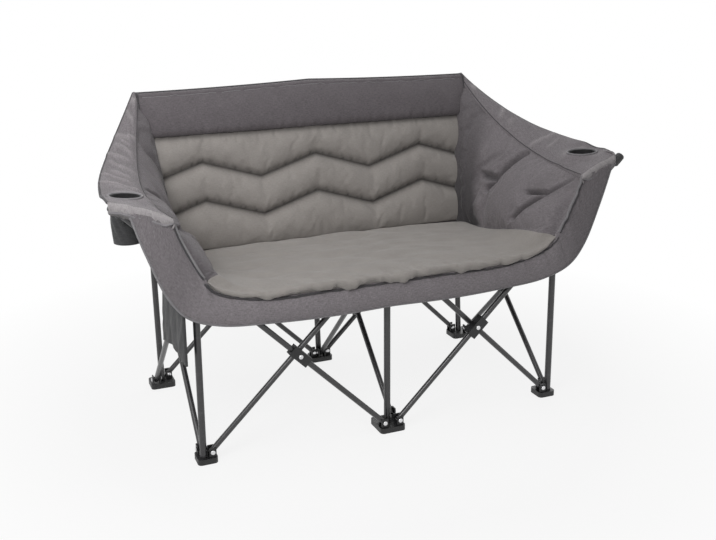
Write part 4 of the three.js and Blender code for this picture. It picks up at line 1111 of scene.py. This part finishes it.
def band_sheet(name, shares, tuck, set_back):
    """A padded strip of the front, with gathers under its upper edge and a hem along its lower one, and
    painted light in its second tone towards the middle of the front.
    """
    w = np.linspace(0, 1, BAND_ROWS)[:, None]
    inner, outer = (catmull(edge, np.abs(shares)) for edge in BAND_EDGES)
    plane = lerp(inner[None], outer[None], w[:, :, None])
    x, z = plane[:, :, 0] * np.where(shares < 0, -1, 1), plane[:, :, 1]
    drop = tuck * (1 - w) ** 2 * smooth((BAND_SPLIT - np.abs(shares)) / 0.12)
    gathers = bell(w, 0.34) * ripple(x + 0.3 * z, 0.037, BAND_SEED) * 0.0018
    folds = np.sin(np.pi * w) * ripple(x + 0.8 * z, 0.13, BAND_SEED + 1) * 0.002
    hem = bell(w - 0.9, 0.022) * 0.0016
    rolled = 0.0035 * (1 - np.clip((1 - w) / 0.06, 0, 1)) ** 2
    drawn = tuck * bell(w, 0.3) * smooth((BAND_SPLIT - np.abs(shares)) / 0.1)
    bulge = APRON_BULGE * np.sin(np.pi * w) ** 0.7
    front_y = APRON_Y - APRON_T - bulge + gathers + folds + hem + rolled + drawn + set_back
    front = np.stack([x, front_y, z - drop], 2)
    obj = closed_sheet(name, front, np.stack([x, np.full_like(x, APRON_Y), z - drop], 2))
    # Painted light, strongest over the middle of the front and gone towards the arms
    light = np.broadcast_to(smooth((FRONT_LIGHT_REACH - np.abs(shares)) / FRONT_LIGHT_FADE), x.shape)
    set_painted_light_and_shade(obj, np.stack([light, light]))
    return obj, front - np.array([0, EDGE_GAP, 0])


# Arms, built on the right and mirrored to the left

def arm_edge(share):
    out, fall = ((1 - share) ** power for power in (ARM_EDGE_SPREAD, ARM_EDGE_FALL))
    a, b = np.array(ARM_EDGE_FRONT), np.array(ARM_EDGE_REAR)
    return np.stack([lerp(a[0], b[0], out), lerp(b[1], a[1], share), lerp(a[2], b[2], fall)], -1)


def arm_seam(share):
    a, b = np.array(ARM_SEAM_FRONT), np.array(ARM_SEAM_REAR)
    x = lerp(b[0], a[0], share) + ARM_SEAM_BULGE * np.sin(np.pi * share)
    return np.stack([x, lerp(b[1], a[1], share), lerp(a[2], b[2], (1 - share) ** ARM_SEAM_FALL)], -1)


def arm_face(u, v):
    """Middle surface of the inner side of the right arm, from the back to the front and from the seat up."""
    root_y = lerp(ARM_ROOT_Y, APRON_Y, u)
    half = seat_half(root_y)
    root = np.stack([half + ARM_ROOT_GAP, root_y, seat_edge(half, root_y)], -1)
    to_front = smooth((APRON_Y + ARM_TURN - root_y) / ARM_TURN)
    spread = lerp(v**ARM_PAD_CURL, 1 - (1 - v) ** BAND_CURL, to_front)
    lap = (smooth(1 - u / 0.1) * smooth((1 - v) / 0.15))[..., None]
    up = np.stack([spread, v, v], -1)
    return lerp(root, arm_seam(u), up) - lap * np.array([ARM_LAP, ARM_LAP_FORWARD, 0])


def mirrored(grid, side):
    return grid * np.array([side, 1, 1])


def with_tucks(grid):
    """Adds a column behind and a row below, under the neighbouring cushions, and one at the band's edge."""
    grid = np.concatenate([grid[:, :1] + ARM_REAR_TUCK, grid, grid[:, -1:] + ARM_FRONT_REACH], 1)
    return np.concatenate([grid[:1] + ARM_LOW_TUCK, grid], 0)


def round_back_end(grid):
    """Carries the rear column of an arm's outer skin round the end of the back, to its rear panel."""
    z = grid[:, 0, 2]
    grid[:, 0] = np.column_stack([back_half(z) + ARM_WRAP, back_y(z) + BACK_PAD + CLOTH, z])
    return grid


def distance_to_line(u, v, line):
    """Distance, in metres, of each point of an arm from a line drawn on it in shares."""
    best = np.full(u.shape, np.inf)
    points = np.asarray(line, float) * ARM_STRETCH
    p = np.stack([u, v], -1) * ARM_STRETCH
    for a, b in zip(points, points[1:]):
        along = b - a
        t = np.clip(((p - a) @ along) / (along @ along), 0, 1)
        best = np.minimum(best, np.linalg.norm(p - a - t[..., None] * along, axis=-1))
    return best


def arm_pad(tag, side):
    """The padded inner side of an arm, drawn in along its creases, with painted shade at its rear, along its
    creases and, on the left, over all of it.
    """
    columns, rows = ARM_PAD_GRID
    u, v = spread_grid(ARM_PAD_GRID)
    middle = arm_face(u, v)
    out = normals(middle)
    out *= np.sign(out[rows // 2, columns // 2, 0])
    lift = puff(u, v) * lerp(0.45, 1, smooth((1 - u) / 0.35))
    distance = np.minimum.reduce([distance_to_line(u, v, line) for line in ARM_CREASES[tag]])
    swollen = lift * (ARM_PAD_FRONT - CREASE_DEPTH * bell(distance, CREASE_HALF))
    inner = with_tucks(middle + out * (ARM_PAD_SKIN[0] - swollen)[..., None])
    outer = round_back_end(with_tucks(middle + out * (ARM_PAD_SKIN[1] + ARM_PAD_DEPTH * lift)[..., None]))
    obj = closed_sheet(f"arm_cushion_{tag}", mirrored(inner, side), mirrored(outer, side))
    mask = border_mask(rows, columns) | (distance < CREASE_PIN)
    swell(obj, np.pad(mask, ((1, 0), (1, 1)), constant_values=True), *ARM_SWELL)
    # Painted shade: darkest at the rear, over the whole left pad, and along the creases
    shadow = smooth((SHADE_SHARE + SHADE_FADE - u) / SHADE_FADE) * lerp(1, 0.35, smooth(v))
    shadow = np.maximum(shadow, ARM_SHADE[tag]) + 0.45 * bell(distance, CREASE_SHADE_HALF)
    shadow = np.pad(shadow, ((1, 0), (1, 1)), mode="edge")
    set_painted_light_and_shade(obj, np.stack([shadow, np.zeros_like(shadow)]))
    return obj


def arm_ridges(u, v, tag):
    """Slanted ridges of slack cloth across the top of an arm, up to 1, each fading out at its ends."""
    count = ARM_RIDGES[tag][0]
    draw = np.random.default_rng(RIDGE_SEED)
    total = np.zeros_like(u)
    for k in range(count):
        place = (k + draw.uniform(0.25, 0.75)) / count * RIDGE_REACH
        line = place + draw.uniform(-0.05, 0.05) * (v - 0.5) + draw.uniform(-0.025, 0.025) * np.sin(np.pi * v)
        length = smooth((v - draw.uniform(-0.1, 0.2)) / 0.2) * smooth((draw.uniform(0.75, 1.1) - v) / 0.2)
        strength = draw.uniform(0.5, 1.0)
        total = np.maximum(total, strength * length * bell(u - line, draw.uniform(0.009, 0.016)))
    return total


def arm_height_at_cup():
    share = np.linspace(0, 1, 200)
    middle = lerp(arm_seam(share), arm_edge(share), 0.55)
    return float(np.interp(-CUP_CENTRE.y, -middle[:, 1], middle[:, 2]))


def flattened(grid, lift):
    """Brings the cloth round the cup's hole near to level, as its stiff ring does."""
    away = np.hypot(grid[..., 0] - CUP_CENTRE.x, grid[..., 1] - CUP_CENTRE.y)
    near = CUP_FLAT * smooth((CUP_FLAT_R - away) / CUP_FLAT_LENGTH)
    grid[..., 2] = lerp(grid[..., 2], arm_height_at_cup() + lift, near)
    return grid


def with_edges(grid, thick):
    """Rolls the top down over the inner pad, hangs a flange in front, and tucks it in behind."""
    rolls = [grid[0] + np.array([x + thick, 0, z]) for x, z in ARM_ROLL]
    grid = np.concatenate([np.array(rolls), grid], 0)
    rows = len(grid)
    across = np.linspace(0, 1, rows)[:, None]
    hung = lerp(FLANGE_START, 1, smooth((np.arange(rows) - len(ARM_ROLL) + 1) / FLANGE_ROWS))[:, None]
    out = FLANGE_OUT * (1 + 0.06 * ripple(across, 0.11, 75))
    drop = lerp(*FLANGE_DROP, across) * hung * (1 + 0.05 * ripple(across, 0.16, 73))
    columns = [
        grid[:, -1] + np.hstack([np.zeros_like(out), -out * forward + thick, -drop * down])
        for forward, down in ARM_FLANGE
    ]
    return np.concatenate([grid[:, :1] + ARM_TOP_TUCK, grid, np.stack(columns, 1)], 1)


def arm_top(tag, side):
    """The top of an arm, wrinkled across, rolled over at its edges and cut round for its cup holder, with a
    painted highlight on its ridges' crests.
    """
    u, v = spread_grid(ARM_TOP_GRID)
    grid = lerp(arm_seam(u), arm_edge(u), v[..., None])
    corner = smooth((u - 0.84) / 0.16) * smooth((v - 0.7) / 0.3)
    grid[..., :2] += np.array(ARM_CORNER[tag]) * corner[..., None]
    slack = np.sin(np.pi * np.clip(v, 0.03, 0.97)) ** 0.6 * ripple(u * 0.6 + v * 0.25, 0.12, 71)
    crests = arm_ridges(u, v, tag)
    top = grid.copy()
    top[..., 2] += lerp(*ARM_TOP_T, smooth(v / 0.2)) + ARM_TOP_CROWN * np.sin(np.pi * v) ** 0.7
    top[..., 2] += ARM_RIDGES[tag][1] * crests + 0.0015 * slack
    top = mirrored(with_edges(flattened(top, 0.0125), 0.0), side)
    under = mirrored(with_edges(flattened(grid + np.array([0, 0, 0.0008]), 0.005), 0.004), side)
    obj = closed_sheet(f"arm_cover_{tag}", top, under)
    crests = np.pad(crests, ((len(ARM_ROLL), 0), (1, len(ARM_FLANGE))))
    # Painted highlight on the crests of the ridges
    set_painted_light_and_shade(obj, CREST_HIGHLIGHT * np.stack([crests, np.zeros_like(crests)]))
    obj.data.materials.append(crest_highlight_cloth)
    obj.data.materials.append(hem_cloth)
    rows, columns = top.shape[:2]
    column = np.tile(np.arange(columns), 2 * rows)
    for polygon in obj.data.polygons:
        polygon.material_index = int(column[list(polygon.vertices)].mean() > columns - len(ARM_FLANGE))
    cut_hole(obj, np.array([side * CUP_CENTRE.x, CUP_CENTRE.y]), CUP_HOLE_R)
    return obj, top


def cut_hole(obj, centre, radius):
    """Opens a round hole through both faces of a sheet and joins their edges."""
    with opened(obj.data) as shell:
        away = {v: np.array(v.co.xy) - centre for v in shell.verts}
        inside = {v for v, gap in away.items() if np.linalg.norm(gap) < radius}
        gone = [f for f in shell.faces if inside.issuperset(f.verts)]
        bmesh.ops.delete(shell, geom=gone, context="FACES")
        bmesh.ops.delete(shell, geom=[v for v in shell.verts if not v.link_faces], context="VERTS")
        for v in shell.verts:
            gap = np.array(v.co.xy) - centre
            reach = np.linalg.norm(gap)
            if reach < radius:
                v.co.xy = centre + gap * (radius / max(reach, 1e-6))
        bmesh.ops.bridge_loops(shell, edges=[e for e in shell.edges if e.is_boundary])
        face_outward(shell)
    shade_smooth(obj.data)


def rear_of_arm_top(obj, name):
    """Cuts an arm's top across: the object keeps the front, and the rear, for the back, is returned."""
    rear = obj.copy()
    rear.data = obj.data.copy()
    rear.name = name
    bpy.context.scene.collection.objects.link(rear)
    for piece, facing in ((obj, 1), (rear, -1)):
        with opened(piece.data) as shell:
            whole = [*shell.verts, *shell.edges, *shell.faces]
            plane = {"plane_co": (0, ARM_CUT_Y, 0), "plane_no": (0, facing, 0)}
            bmesh.ops.bisect_plane(shell, geom=whole, clear_outer=True, **plane)
            rim = [e for e in shell.edges if e.is_boundary]
            bmesh.ops.edgeloop_fill(shell, edges=rim)
            for e in rim:
                e.smooth = False
            face_outward(shell)
    return rear


def cut_path(path):
    """The stretches of a path in front of the arm's cut and behind it, with a short lap."""
    cut = int(np.argmax(path[:, 1] < ARM_CUT_Y))
    return path[cut - CUT_LAP :], path[: cut + CUT_LAP]


def cup_slope():
    """Slope left in the cup's ring, across the arm."""
    across = arm_edge(np.array(CUP_SHARE)) - arm_seam(np.array(CUP_SHARE))
    return (1 - CUP_FLAT) * across[2] / across[0]


def cup_bag(tag, side):
    """A soft cup that hangs through the arm: a black lining in a wrinkled dark bag."""
    top_z = arm_height_at_cup() + CUP_TOP
    depth = top_z - CUP_LOW.z
    angle = np.linspace(0, 2 * np.pi, CUP_SIDES, endpoint=False)[None]
    down = np.linspace(0, 1, CUP_ROWS)[:, None]
    wrinkle = np.sin(np.pi * down) * ripple(angle * 0.02 + down * 0.03, 0.021, 79)
    outer_r = CUP_R * (1 - 0.1 * down**3) + 0.0022 * wrinkle
    inner_r = outer_r - CUP_T - 0.0008 * np.cos(down * 60) * (down < 0.35)
    vertices, faces, rims = [], [], []
    for radius, lift in ((outer_r, 0.0), (inner_r, CUP_T)):
        x, y = radius * np.cos(angle), radius * np.sin(angle)
        z = top_z - depth * down + lift * (down > 0.9) + cup_slope() * x * (1 - down)
        skin = np.stack([side * (CUP_CENTRE.x + x), CUP_CENTRE.y + y, z], 2)
        index = np.arange(x.size).reshape(x.shape) + len(vertices)
        vertices += [*skin.reshape(-1, 3), skin[-1].mean(0)]
        faces += ring_faces(index)
        faces += [[a, b, len(vertices) - 1] for a, b in zip(index[-1], np.roll(index[-1], -1))]
        rims.append(index[0])
    first, second = rims
    faces += [[a, b, d, c] for a, b, c, d in zip(first, np.roll(first, -1), second, np.roll(second, -1))]
    flat = np.stack(np.broadcast_arrays(angle * CUP_R, down * depth), 2).reshape(-1, 2)
    flat = np.concatenate([flat, [[0, depth]], flat, [[0, depth]]])
    obj = mesh_object(f"cup_bag_{tag}", vertices, faces, flat)
    obj.data.materials.append(pocket_cloth)
    obj.data.materials.append(cup_cloth)
    for polygon in obj.data.polygons:
        polygon.material_index = int(min(polygon.vertices) >= second[0])
    return obj


def cup_rim(side):
    angle = np.linspace(0, 2 * np.pi, CUP_SIDES + 1)
    x, y = ((CUP_HOLE_R + 0.001) * turn(angle) for turn in (np.cos, np.sin))
    z = arm_height_at_cup() + 0.014 + cup_slope() * x
    return np.column_stack([side * (CUP_CENTRE.x + x), CUP_CENTRE.y + y, z])


def side_pocket():
    """A cloth pocket that hangs outside the left legs in loose folds."""
    low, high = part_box("side_pocket")
    u, v = spread_grid(POCKET_GRID)
    y = lerp(low.y, high.y, u)
    bottom = POCKET_LOW_Z - 0.02 * u + 0.016 * np.sin(np.pi * u)
    z = lerp(bottom, high.z - 0.07 * u, v)
    fold = 0.006 * np.abs(np.sin(3.4 * np.pi * u)) * smooth(1 - v)
    loose = 0.002 * ripple(u * 0.26 + 0.1 * v, 0.07, 83) * smooth(1.2 - v)
    belly = 0.004 * np.sin(np.pi * u) * np.sin(np.pi * v)
    inner = np.stack([high.x - TOUCH / 2 - fold, y, z], 2)
    outer = np.stack([high.x - POCKET_T - fold - belly - np.abs(loose), y, z], 2)
    return closed_sheet("hanging_pocket", outer, inner), outer


# Frame: round tubes, rivets and moulded fittings

def tube_ends(name):
    """Middles of both ends of a tube, and its outer radius, from its solid."""
    place = points_of(nodes[name])
    centre = place.mean(0)
    axis = np.linalg.svd(place - centre, full_matrices=False)[2][0]
    along = (place - centre) @ axis
    ends = []
    for limit in (along.min(), along.max()):
        ring = np.unique(np.round(place[np.abs(along - limit) < 0.0006], 6), axis=0)
        ends.append((ring.min(0) + ring.max(0)) / 2)
    direction = (ends[1] - ends[0]) / np.linalg.norm(ends[1] - ends[0])
    gap = place - ends[0]
    radius = np.linalg.norm(gap - np.outer(gap @ direction, direction), axis=1).max()
    return ends[0], ends[1], radius


def round_tube(name, body):
    start, end, radius = tube_ends(name)
    length = np.linalg.norm(end - start)
    inner, bevelled = radius - TUBE_WALL, radius - TUBE_CHAMFER
    profile = [(inner, 0), (bevelled, 0), (radius, TUBE_CHAMFER)]
    profile += [(radius, length - TUBE_CHAMFER), (bevelled, length), (inner, length)]
    obj = lathe(f"tube_{name}", profile, axis_matrix(start, end - start), TUBE_SIDES)
    return attach(obj, steel_paint, body, (name,))


RIVET_RADII = (0.0, 0.0062, 0.0066, 0.0062, 0.0048, 0.0026, 0.0)
RIVET_HEIGHTS = (0.0, 0.0, 0.0006, 0.0013, 0.0021, 0.0026, 0.0028)
RIVET_PROFILE = tuple(zip(RIVET_RADII, RIVET_HEIGHTS))


def rivets(name, body, heads):
    """Bright domed heads at (place, direction) pairs."""
    made = [
        lathe(f"{name}_{k}", RIVET_PROFILE, axis_matrix(place, direction), RIVET_SIDES, 50)
        for k, (place, direction) in enumerate(heads)
    ]
    return attach(joined(name, made), rivet_zinc, body)


def pin_heads(middle, axis, low, high):
    """Both rivet heads of a pin along an axis, from one level to another."""
    heads = []
    for sign, level in ((-1, low), (1, high)):
        place, direction = Vector(middle), Vector()
        place[axis] = level
        direction[axis] = sign
        heads.append((place, direction))
    return heads


def lug_heads(x, y, axis):
    """Both rivet heads of a foot's lug, whose pin runs along axis."""
    level = (x, y)[axis]
    return pin_heads((x, y, FOOT_PIVOT_Z), axis, level - LUG_HEAD, level + LUG_HEAD)


def block_heads(node, axis):
    """Rivet heads at both faces of a crossing block, which stand out furthest along its pin."""
    low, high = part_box(node)
    return pin_heads((low + high) / 2, axis, low[axis] + HEAD_SINK, high[axis] - HEAD_SINK)


def foot_lugs():
    """The lugs of each foot, as places and the axis of their pin, by the body that carries it."""
    half = PAIR_GAP / 2
    lugs = {
        "front_leg_middle": [(side * LUG, FRONT_Y + FRONT_LONG_OFFSET, 1) for _, side in SIDES],
        "rear_leg_middle": [(side * LUG, REAR_Y - half, 1) for _, side in SIDES],
    }
    lugs["front_leg_middle"].append((PAIR_GAP, FRONT_Y + LUG, 0))
    lugs["rear_leg_middle"].append((0, REAR_Y - LUG, 0))
    for tag, side in SIDES:
        inner, outer = side * (BAY - LUG), side * (BAY + PAIR_GAP)
        lugs[f"front_leg_{tag}"] = [(inner, FRONT_Y, 1), (side * BAY, FRONT_Y + LUG, 0)]
        lugs[f"rear_leg_{tag}"] = [(inner, REAR_Y + half, 1), (outer, REAR_Y - LUG, 0)]
    return lugs


def wear_edges(obj):
    """Black plastic with slightly rounded edges, on a fitting's own solid."""
    obj.data.materials.clear()
    obj.data.materials.append(black_plastic)
    bevel = obj.modifiers.new("worn_edges", "BEVEL")
    bevel.width = 0.0016
    bevel.segments = 3
    bevel.limit_method = "ANGLE"
    bevel.angle_limit = math.radians(40)
    bevel.use_clamp_overlap = True
    shade_smooth(obj.data)
    obj.data.set_sharp_from_angle(angle=math.radians(30))


def dress_frame():
    groups = frame["record"]["behaviour"]["bodies"]
    body_of = {node: body for body, members in groups.items() for node in members}
    for name, body in body_of.items():
        if any(word in name for word in ("brace", "post", "rod")):
            round_tube(name, body)
        elif any(word in name for word in ("foot", "block", "hub", "cap", "buckle")):
            wear_edges(nodes[name])
    for body, lugs in foot_lugs().items():
        rivets(f"foot_rivets_{body}", body, [head for lug in lugs for head in lug_heads(*lug)])
    for name, body in body_of.items():
        if "block" in name:
            rivets(f"rivets_{name}", body, block_heads(name, int(name.startswith(("front", "rear")))))


# Stage, light and camera

FLOOR_HALF = 9.0
FLOOR_FADE = (0.8, 1.6)
FLOOR_WHITE = (0.84, 1.0)


def seen_rays(tree):
    """One for the rays that see the background: from the camera, off metal and through glass."""
    path = shader_node(tree, "LightPath").outputs
    first = math_node(tree, "MAXIMUM", path["Is Camera Ray"], path["Is Glossy Ray"])
    return math_node(tree, "MAXIMUM", first, path["Is Transmission Ray"])


def make_floor():
    """A floor that takes soft shadows near the object and is white further off."""
    corners = [(x * FLOOR_HALF, y * FLOOR_HALF, 0) for x, y in ((-1, -1), (1, -1), (1, 1), (-1, 1))]
    floor = mesh_object("floor", corners, [[0, 1, 2, 3]])
    made = bpy.data.materials.new("floor")
    tree, out = new_tree(made, "Material")
    place = shader_node(tree, "TexCoord").outputs["Object"]
    distance = shader_node(tree, "VectorMath", {0: place}, operation="LENGTH").outputs["Value"]
    white = mapped(tree, mapped(tree, distance, FLOOR_FADE), target=FLOOR_WHITE)
    factor = times(tree, white, seen_rays(tree))
    diffuse = shader_node(tree, "BsdfDiffuse", {"Color": (0.88, 0.88, 0.88, 1)})
    glow = shader_node(tree, "Emission", {"Color": (1, 1, 1, 1), "Strength": 1.0})
    mix = shader_node(tree, "MixShader", {0: factor, 1: diffuse.outputs[0], 2: glow.outputs[0]})
    put(tree, out, {"Surface": mix.outputs[0]})
    floor.data.materials.append(made)


def make_world():
    world = bpy.data.worlds.new("studio")
    bpy.context.scene.world = world
    tree, out = new_tree(world, "World")
    strength = mapped(tree, seen_rays(tree), target=(AMBIENT, 1.0))
    back = shader_node(tree, "Background", {"Color": (1, 1, 1, 1), "Strength": strength})
    put(tree, out, {"Surface": back.outputs[0]})


def area_light(name, place, target, size, power, spread):
    data = bpy.data.lights.new(name, "AREA")
    data.shape = "DISK"
    data.size = size
    data.energy = power
    data.spread = math.radians(spread)
    lamp = bpy.data.objects.new(name, data)
    lamp.location = place
    lamp.rotation_euler = (Vector(target) - Vector(place)).to_track_quat("-Z", "Y").to_euler()
    bpy.context.scene.collection.objects.link(lamp)


def make_camera():
    yaw, pitch, roll = (math.radians(a) for a in (CAMERA_YAW, CAMERA_PITCH, CAMERA_ROLL))
    data = bpy.data.cameras.new("camera")
    data.sensor_width = SENSOR
    data.lens = FOCAL_PIXELS / PHOTO_WIDTH * SENSOR
    data.shift_x = -CENTRE_PIXELS[0] / PHOTO_WIDTH
    data.shift_y = CENTRE_PIXELS[1] / PHOTO_WIDTH
    camera = bpy.data.objects.new("camera", data)
    place = Matrix.Translation(CAMERA_PLACE)
    for angle, axis in ((yaw, "Z"), (math.pi / 2 - pitch, "X"), (roll, "Z")):
        place = place @ Matrix.Rotation(angle, 4, axis)
    camera.matrix_world = place
    bpy.context.scene.collection.objects.link(camera)
    bpy.context.scene.camera = camera


make_camera()
make_world()
make_floor()
for name, settings in LIGHTS.items():
    area_light(name, *settings)
bpy.context.scene.view_settings.view_transform = "Standard"

dress_frame()

# Padded pieces are made, blown up together, and then creased and sewn

seat = seat_cushion()
back, zigzag_paths = back_cushion()
arm_pads = {tag: arm_pad(tag, side) for tag, side in SIDES}
run_swelling()
crease_seat(seat)
sew_zigzags(back)
for piece in (seat, back, *arm_pads.values()):
    subdivide(piece)

# The seat and what is under it

attach(seat, pad_cloth, "seat", ("seat_pad",), FOLD_ACROSS)
underside = attach(seat_sling(), shell_cloth, "seat", ("seat_sling",), FOLD_ACROSS)
strap = seat_strap()
attach(strap, strap_web, "front_leg_middle", ("seat_support_strap",), FOLD_ACROSS)

# The back, its panel and the headrest

BACK_BODY = "rear_leg_middle"
attach(back, pad_cloth, BACK_BODY, ("back_pad",), FOLD_ACROSS)
# The zigzag stitching, whose dark thread is both real stitching and painted shade in the grooves
for number, path in enumerate(zigzag_paths):
    name = f"zigzag_thread_{number}"
    trim(name, path, ZIGZAG_THREAD_R, groove_shade_thread, BACK_BODY, FOLD_ACROSS, THREAD_SIDES)
panel = attach(back_panel(), shell_cloth, BACK_BODY, ("back_shell",), FOLD_ACROSS)
cover, hem_line, top_line, end_lines = headrest()
attach(cover, headrest_cloth, BACK_BODY, ("headrest_band",), FOLD_ACROSS)
trim("headrest_hem_thread", hem_line, HEM_THREAD_R, pale_thread, BACK_BODY, FOLD_ACROSS, THREAD_SIDES)
trim("headrest_top_piping", top_line, EDGE_PIPING_R, edge_cloth, BACK_BODY, FOLD_ACROSS)
for (tag, _), line in zip(SIDES, end_lines):
    trim(f"headrest_end_seam_{tag}", line, END_SEAM_R, edge_cloth, BACK_BODY, FOLD_ACROSS)

# The apron

APRON_BODY = "front_leg_middle"
apron, face = band_sheet("apron", np.linspace(-BAND_SPLIT, BAND_SPLIT, APRON_COLUMNS), APRON_TUCK, 0.0)
attach(apron, front_cloth, APRON_BODY, ("front_apron",), FOLD_ACROSS)
# A dark cord along the apron, just under the seat's lip, is painted shadow, thicker on the left
lip_radii = np.linspace(*LIP_SHADOW_R, APRON_COLUMNS)
trim("apron_lip_shadow_cord", face[LIP_SHADOW_ROW], lip_radii, edge_cloth, APRON_BODY, FOLD_ACROSS)
trim("apron_piping", face[-1], HEM_R, piping_cloth, APRON_BODY, FOLD_ACROSS)

# Each arm: its front band, its inner side, its top in two parts, and its cup holder

for tag, side in SIDES:
    front_body, rear_body, top_body = (f"{part}_{tag}" for part in ("front_leg", "rear_leg", "arm_top"))
    band_fold, arm_fold = fold_to_side(side), fold_along_arm(side)
    shares = side * np.linspace(BAND_SPLIT - BAND_LAP, 1, BAND_COLUMNS)
    band, face = band_sheet(f"arm_band_{tag}", shares, 0.0, TOUCH)
    attach(band, front_cloth, front_body, (f"front_band_{tag}",), band_fold)
    for name, line, radius, look in (
        ("piping_outer", face[-1], BAND_PIPING_R, piping_cloth),
        ("piping_inner", face[0, BAND_PIPING_START:], BAND_PIPING_R, piping_cloth),
        ("seam_inner", face[1, BAND_SEAM_START:], BAND_SEAM_R, edge_cloth),
    ):
        trim(f"band_{name}_{tag}", line, radius, look, front_body, band_fold)

    attach(arm_pads[tag], arm_cloth, rear_body, (f"arm_pad_{tag}",), FOLD_TO_REAR)
    top, face = arm_top(tag, side)
    shoulder = rear_of_arm_top(top, f"arm_shoulder_{tag}")
    attach(top, crest_highlight_cloth, top_body, (f"arm_top_{tag}",), arm_fold)
    attach(shoulder, crest_highlight_cloth, rear_body, (), FOLD_TO_REAR)
    trim(f"arm_hem_{tag}", face[len(ARM_ROLL) :, -1], HEM_R, piping_cloth, top_body, arm_fold)
    edge_line = face[-1, 1 : -len(ARM_FLANGE)] - np.array([0, 0, 0.003])
    seam_line = face[len(ARM_ROLL), 1 : -len(ARM_FLANGE)] + np.array([0, 0, TOUCH])
    for name, line, radius, sides in (
        ("arm_edge_piping", edge_line, EDGE_PIPING_R, CORD_SIDES),
        ("arm_seam_thread", seam_line, ARM_THREAD_R, THREAD_SIDES),
    ):
        ahead, behind = cut_path(line)
        trim(f"{name}_{tag}", ahead, radius, edge_cloth, top_body, arm_fold, sides)
        trim(f"{name}_rear_{tag}", behind, radius, edge_cloth, rear_body, FOLD_TO_REAR, sides)
    bag = cup_bag(tag, side)
    attach(bag, pocket_cloth, top_body, (f"cup_holder_{tag}",), arm_fold)
    trim(f"cup_rim_{tag}", cup_rim(side), HEM_R, piping_cloth, top_body, arm_fold)

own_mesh(nodes["strap_buckle"])

# The pocket at the left

POCKET_BODY = "front_leg_left"
pocket, face = side_pocket()
attach(pocket, pocket_cloth, POCKET_BODY, ("side_pocket",), FOLD_TO_FRONT)
trim("pocket_hem", face[-1], POCKET_HEM_R, pocket_cloth, POCKET_BODY, FOLD_TO_FRONT)
